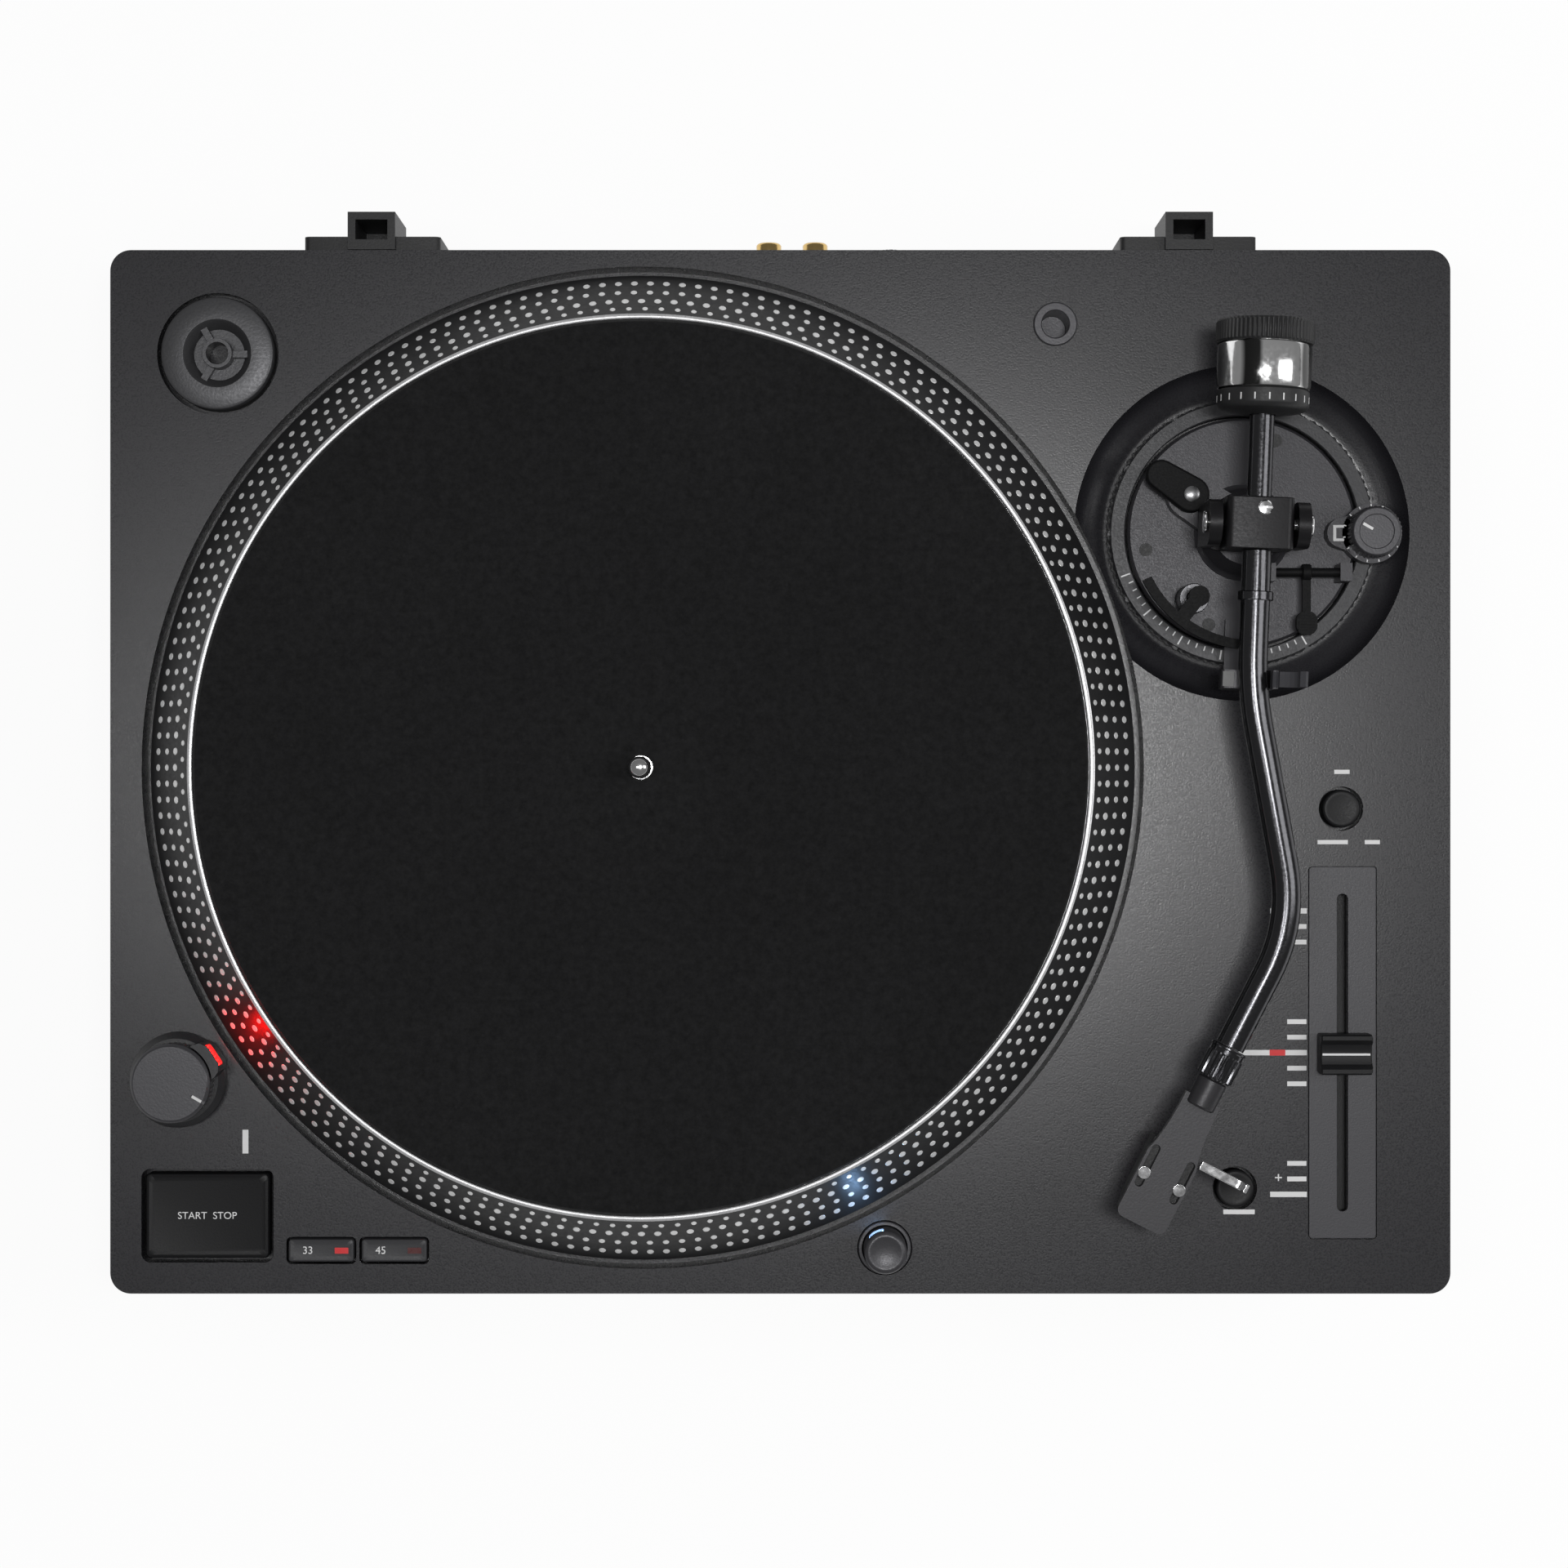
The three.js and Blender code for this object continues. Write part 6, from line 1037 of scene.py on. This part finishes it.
def bend(before, corner, after, steps=12):
    """Points of a smooth bend that leaves one straight and meets the next at the corner's two sides."""
    before, corner, after = Vector(before), Vector(corner), Vector(after)
    shares = [i / steps for i in range(steps + 1)]
    return [(1 - t) ** 2 * before + 2 * t * (1 - t) * corner + t * t * after for t in shares]


def ahead(point, degrees, distance):
    """A point farther along a heading, counted from straight towards the front."""
    angle = math.radians(degrees)
    return point + distance * Vector((math.sin(angle), -math.cos(angle), 0))


def swept(name, points, radius, resolution):
    """A round bar swept along a path of points in millimetres, closed at both ends."""
    curve = bpy.data.curves.new(name, "CURVE")
    curve.dimensions = "3D"
    curve.bevel_depth = radius * MM
    curve.bevel_resolution = resolution
    curve.use_fill_caps = True
    spline = curve.splines.new("POLY")
    spline.points.add(len(points) - 1)
    for knot, (x, y, z) in zip(spline.points, points):
        knot.co = (x * MM, y * MM, z * MM, 1)
    mesh = frozen(linked(name, curve))
    bm = bmesh.new()
    bm.from_mesh(mesh)
    bpy.data.meshes.remove(mesh)
    bmesh.ops.remove_doubles(bm, verts=bm.verts, dist=1e-7)
    bmesh.ops.recalc_face_normals(bm, faces=bm.faces)
    return bm


arm_tube_metal = moulded("arm_tube_metal", (0.075, 0.075, 0.08), 0.18, grain=0.06, grain_size=1100,
                         metallic=0.95, variation=0.04)
tube_line = [Vector((0, -8.8, 0)), Vector((0, -30, 0))]
tube_line += bend(ahead(FIRST_CORNER, 0, -13), FIRST_CORNER, ahead(FIRST_CORNER, FIRST_TURN, 13))
tube_line += bend(ahead(APEX, FIRST_TURN, -19), APEX, ahead(APEX, HEAD_TURN, 19))
tube_line += [ahead(APEX, HEAD_TURN, 45.7)]
tube_band = along_y([(0, -25), (5.5, -25), (5.8, -24.7), (5.8, -22.3), (5.5, -22), (0, -22)], sides=64)
tube = carved(swept("tube_sweep", tube_line, 4.8, 10), [], [tube_band])
settled("arm_tube_s", on_arm(tube), arm_tube_metal, "tonearm", "arm_tube", crease=40)


# Rear shaft: a thin steel shaft in the block's rear end, on which the counterweight slides.
# Its end is chamfered.
shaft = along_y([(0, 8.8), (4, 8.8), (4, 59.3), (3.5, 59.8), (0, 59.8)])
settled("rear_shaft_rod", on_arm(shaft), arm_tube_metal, "tonearm", "rear_shaft", crease=40)


# Counterweight and gauge ring: a turned, bored steel weight with a knurled grip band at its rear.
# A black ring in front of it carries the printed force scale.
weight_profile = [(4.3, 43.4), (14.3, 43.4), (15, 43.7), (15.3, 44.4), (15.3, 57.4), (15, 58.1), (14.5, 58.4),
                  (14.5, 65), (10.5, 65), (10.5, 57.4), (4.3, 57.4)]
grip_profile = [(14.6, 58.5), (15.4, 58.5), (16, 59.1, 1), (16, 65.1, 1), (15.4, 65.8), (11.2, 65.8),
                (10.7, 65.3), (10.7, 65.1), (14.6, 65.1)]
gauge_profile = [(4.3, 35.5), (6.4, 35.5), (13.2, 36.7), (14.2, 37.3), (14.9, 38.2), (15, 38.7), (15, 42.8),
                 (14.7, 43.1), (4.3, 43.1)]
# Painted reflections: the chrome's base colour is a ramp of bright and dark bands chosen by which way its
# surface faces. The bands stand in for the studio's reflections in it.
weight_chrome_painted_reflections = moulded("weight_chrome_painted_reflections", (0.9, 0.9, 0.9), 0.14, grain=0.03, grain_size=900, metallic=0.9,
                        variation=0.03)
chrome = weight_chrome_painted_reflections.node_tree
surface = node(chrome, "ShaderNodeTexCoord")
facing = node(chrome, "ShaderNodeSeparateXYZ")
stretch = node(chrome, "ShaderNodeMapRange", {"From Min": -1})
painted_reflection_ramp = node(chrome, "ShaderNodeValToRGB")
painted_reflection_tones = [(0.1, 0.9), (0.19, 0.9), (0.24, 0.04), (0.38, 0.06), (0.42, 0.95), (0.8, 0.8), (0.86, 0.08)]
for position, tone in painted_reflection_tones:
    painted_reflection_ramp.color_ramp.elements.new(position).color = (tone, tone, tone, 1)
painted_reflection_ramp.color_ramp.elements[0].color = (0.1, 0.1, 0.1, 1)
painted_reflection_ramp.color_ramp.elements[-1].color = (0.06, 0.06, 0.06, 1)
joined(chrome, (surface, "Normal", facing, 0), (facing, "X", stretch, "Value"),
       (stretch, "Result", painted_reflection_ramp, "Fac"), (painted_reflection_ramp, "Color", chrome.nodes["Principled BSDF"], "Base Color"))
settled("counterweight_body", on_arm(along_y(weight_profile, sides=128)), weight_chrome_painted_reflections, "counterweight",
        "counterweight", crease=25)
settled("counterweight_grip", on_arm(along_y(grip_profile, sides=256, tooth=0.35)), soft_black,
        "counterweight", crease=25)
settled("gauge_ring_body", on_arm(along_y(gauge_profile, sides=96)), soft_black, "gauge_ring", "gauge_ring",
        crease=30)
gauge_marks = tipped(marks_round(14.9, 15.06, 0.45, 39, 41.2, range(0, 360, 18)), -90, "X")
settled("gauge_ring_marks", on_arm(gauge_marks), white_ink, "gauge_ring")


# Locking collar: a knurled nut on the tube's end that pulls the headshell's plug tight.
# It turns about the tube's last straight.
def on_head(bm):
    """Carries a body made along -Y from the tube's bend to the headshell's place."""
    place = Matrix.Translation(APEX * MM) @ Matrix.Rotation(math.radians(HEAD_TURN), 4, "Z")
    bmesh.ops.transform(bm, matrix=place, verts=bm.verts)
    return on_arm(bm)


collar_profile = [(3.35, -57.5), (5.5, -57.5), (6.1, -56.9, 1), (6.1, -49.2, 1), (5.7, -48.6), (5.7, -47.2),
                  (6, -46.8), (6, -46.3), (5.7, -46), (3.35, -46)]
settled("locking_collar_nut", on_head(along_y(collar_profile, sides=96, tooth=0.45)), arm_tube_metal,
        "locking_collar", "locking_collar", crease=25)


# Headshell: a cast plate with a round plug, a waist and two slots for the cartridge's screws.
# Two round-headed screws stand in the slots.
BACK = -64.8
WAIST = -80.06
FRONT = -110.8
CORNER = 3
HALF_PLUG = 6.2
HALF_SHELL = 8.75
SLOT_X = 6.35
shell_silver = moulded("shell_silver", (0.042, 0.041, 0.045), 0.4, grain=0.15, grain_size=1500, metallic=0.3)
shell_side = bend((HALF_PLUG, BACK, 0), (HALF_PLUG, WAIST, 0), (HALF_SHELL, WAIST - 7, 0), 10)
front_corner = (HALF_SHELL, FRONT, 0)
shell_side += bend((HALF_SHELL, FRONT + CORNER, 0), front_corner, (HALF_SHELL - CORNER, FRONT, 0), 6)
shell_outline = [(p.x, p.y) for p in shell_side] + [(-p.x, p.y) for p in reversed(shell_side)]
shell_hub = along_y([(0, -67.8), (4.4, -67.8), (5, -67.2), (5, -58.3), (4.5, -57.8), (0, -57.8)], sides=64)
shell_plug = along_y([(0, -60.8), (3, -60.8), (3, -50.3), (2.5, -49.8), (0, -49.8)])
shell_slots = [slab(2.8, 15, 1.35, -3, 3, (x, -92.3), 6) for x in (-SLOT_X, SLOT_X)]
headshell = carved(prism(shell_outline, -1.5, 1.5), shell_slots, [shell_hub, shell_plug])
settled("headshell_plate", on_head(headshell), shell_silver, "headshell", "headshell", 0.35)
for side, x in (("left", -SLOT_X), ("right", SLOT_X)):
    settled("cartridge_screw_" + side, on_head(disc(2.1, 1.5, 2.5, (x, -94.8), 32)), bright_steel,
            "headshell", round_off=0.2)


# Finger lift: a strip of bright steel at the shell's right side, curled up at its end.
# The finger lifts the arm by it.
strip = [Vector((9.05, -0.7, 0)), *bend((22.05, -0.7, 0), (26.05, -0.7, 0), (26.05, 3.3, 0), 8),
         *bend((24.65, 3.3, 0), (24.65, 0.7, 0), (22.05, 0.7, 0), 8), Vector((9.05, 0.7, 0))]
finger = tipped(prism([(p.x, p.y) for p in strip], 82.8, 85.8), 90, "X")
settled("finger_lift_strip", on_head(finger), bright_steel, "headshell", "finger_lift", 0.35)


# Cartridge and stylus: a moulded body with four pins at its rear, and a push-in stylus grip below it.
# Four thin coloured leads join the pins to the hub, and the cantilever ends in a tiny tip.
PIN_X = 2.6
PIN_Z = -7.3
PIN_RISE = 1.3
STYLUS_Z = -18.1
cartridge_side = [(-109.3, -1.8), (-82.3, -1.8), (-82.3, -12.8), (-103.3, -12.8), (-109.3, -6.8)]
settled("cartridge_case", on_head(upright(cartridge_side, -8.3, 8.3)), soft_black, "headshell", "cartridge",
        0.7)
pin_profile = [(0, -84), (0.6, -84), (0.6, -78.6), (0.3, -78.3), (0, -78.3)]
clip_profile = [(0, -80.6), (0.95, -80.6), (0.95, -78.3), (0.6, -77.8), (0, -77.8)]
leads = [("red", (0.45, 0.02, 0.02), -1, -1), ("green", (0.03, 0.28, 0.08), -1, 1),
         ("white", (0.65, 0.65, 0.62), 1, -1), ("blue", (0.03, 0.09, 0.45), 1, 1)]
for number, (colour_name, colour, side, row) in enumerate(leads):
    pin = along_y(pin_profile, side * PIN_X, PIN_Z + row * PIN_RISE, 16)
    settled(f"cartridge_pin_{number}", on_head(pin), jack_gold, "headshell")
for colour_name, colour, side, row in leads:
    pin_x = side * PIN_X
    pin_z = PIN_Z + row * PIN_RISE
    sag = (side * 3.4, -72.5, -8.2 + row * 1.6)
    path = bend((pin_x, -78.6, pin_z), sag, (side * 1.6, -67.7, -2.6 + row), 14)
    lead_finish = moulded("lead_" + colour_name, colour, 0.5)
    settled("lead_" + colour_name, on_head(swept("lead", path, 0.42, 2)), lead_finish, "headshell")
    clip = along_y(clip_profile, pin_x, pin_z, 20)
    settled("lead_clip_" + colour_name, on_head(clip), jack_gold, "headshell")
stylus_red = moulded("stylus_grip_red", (0.3, 0.02, 0.018), 0.35, grain=0.05)
stylus_nose = prism([(-3.2, -101.4), (3.2, -101.4), (4.3, -99.2), (-4.3, -99.2)], -17.9, -13.4)
stylus_grip = carved(box_of((-4.5, -99.3, STYLUS_Z), (4.5, -85.3, -13.1)), [], [stylus_nose])
settled("stylus_grip", on_head(stylus_grip), stylus_red, "headshell", "stylus", 0.4)
cantilever = along_y([(0, -106.3), (0.3, -106.3), (0.42, -101), (0.42, -92.3), (0, -92.3)], 0, STYLUS_Z, 16)
settled("stylus_cantilever", on_head(cantilever), bright_steel, "headshell")
tip = moved(turned([(0, -1.55), (0.16, -1.3), (0.4, 0), (0, 0.1)], (0, -105.4), 12), 0, 0, STYLUS_Z)
settled("stylus_tip", on_head(tip), bright_steel, "headshell")


# Whole player: the scene is finished.
# The colours are shown by the plain standard transform.
bpy.context.scene.view_settings.view_transform = "Standard"
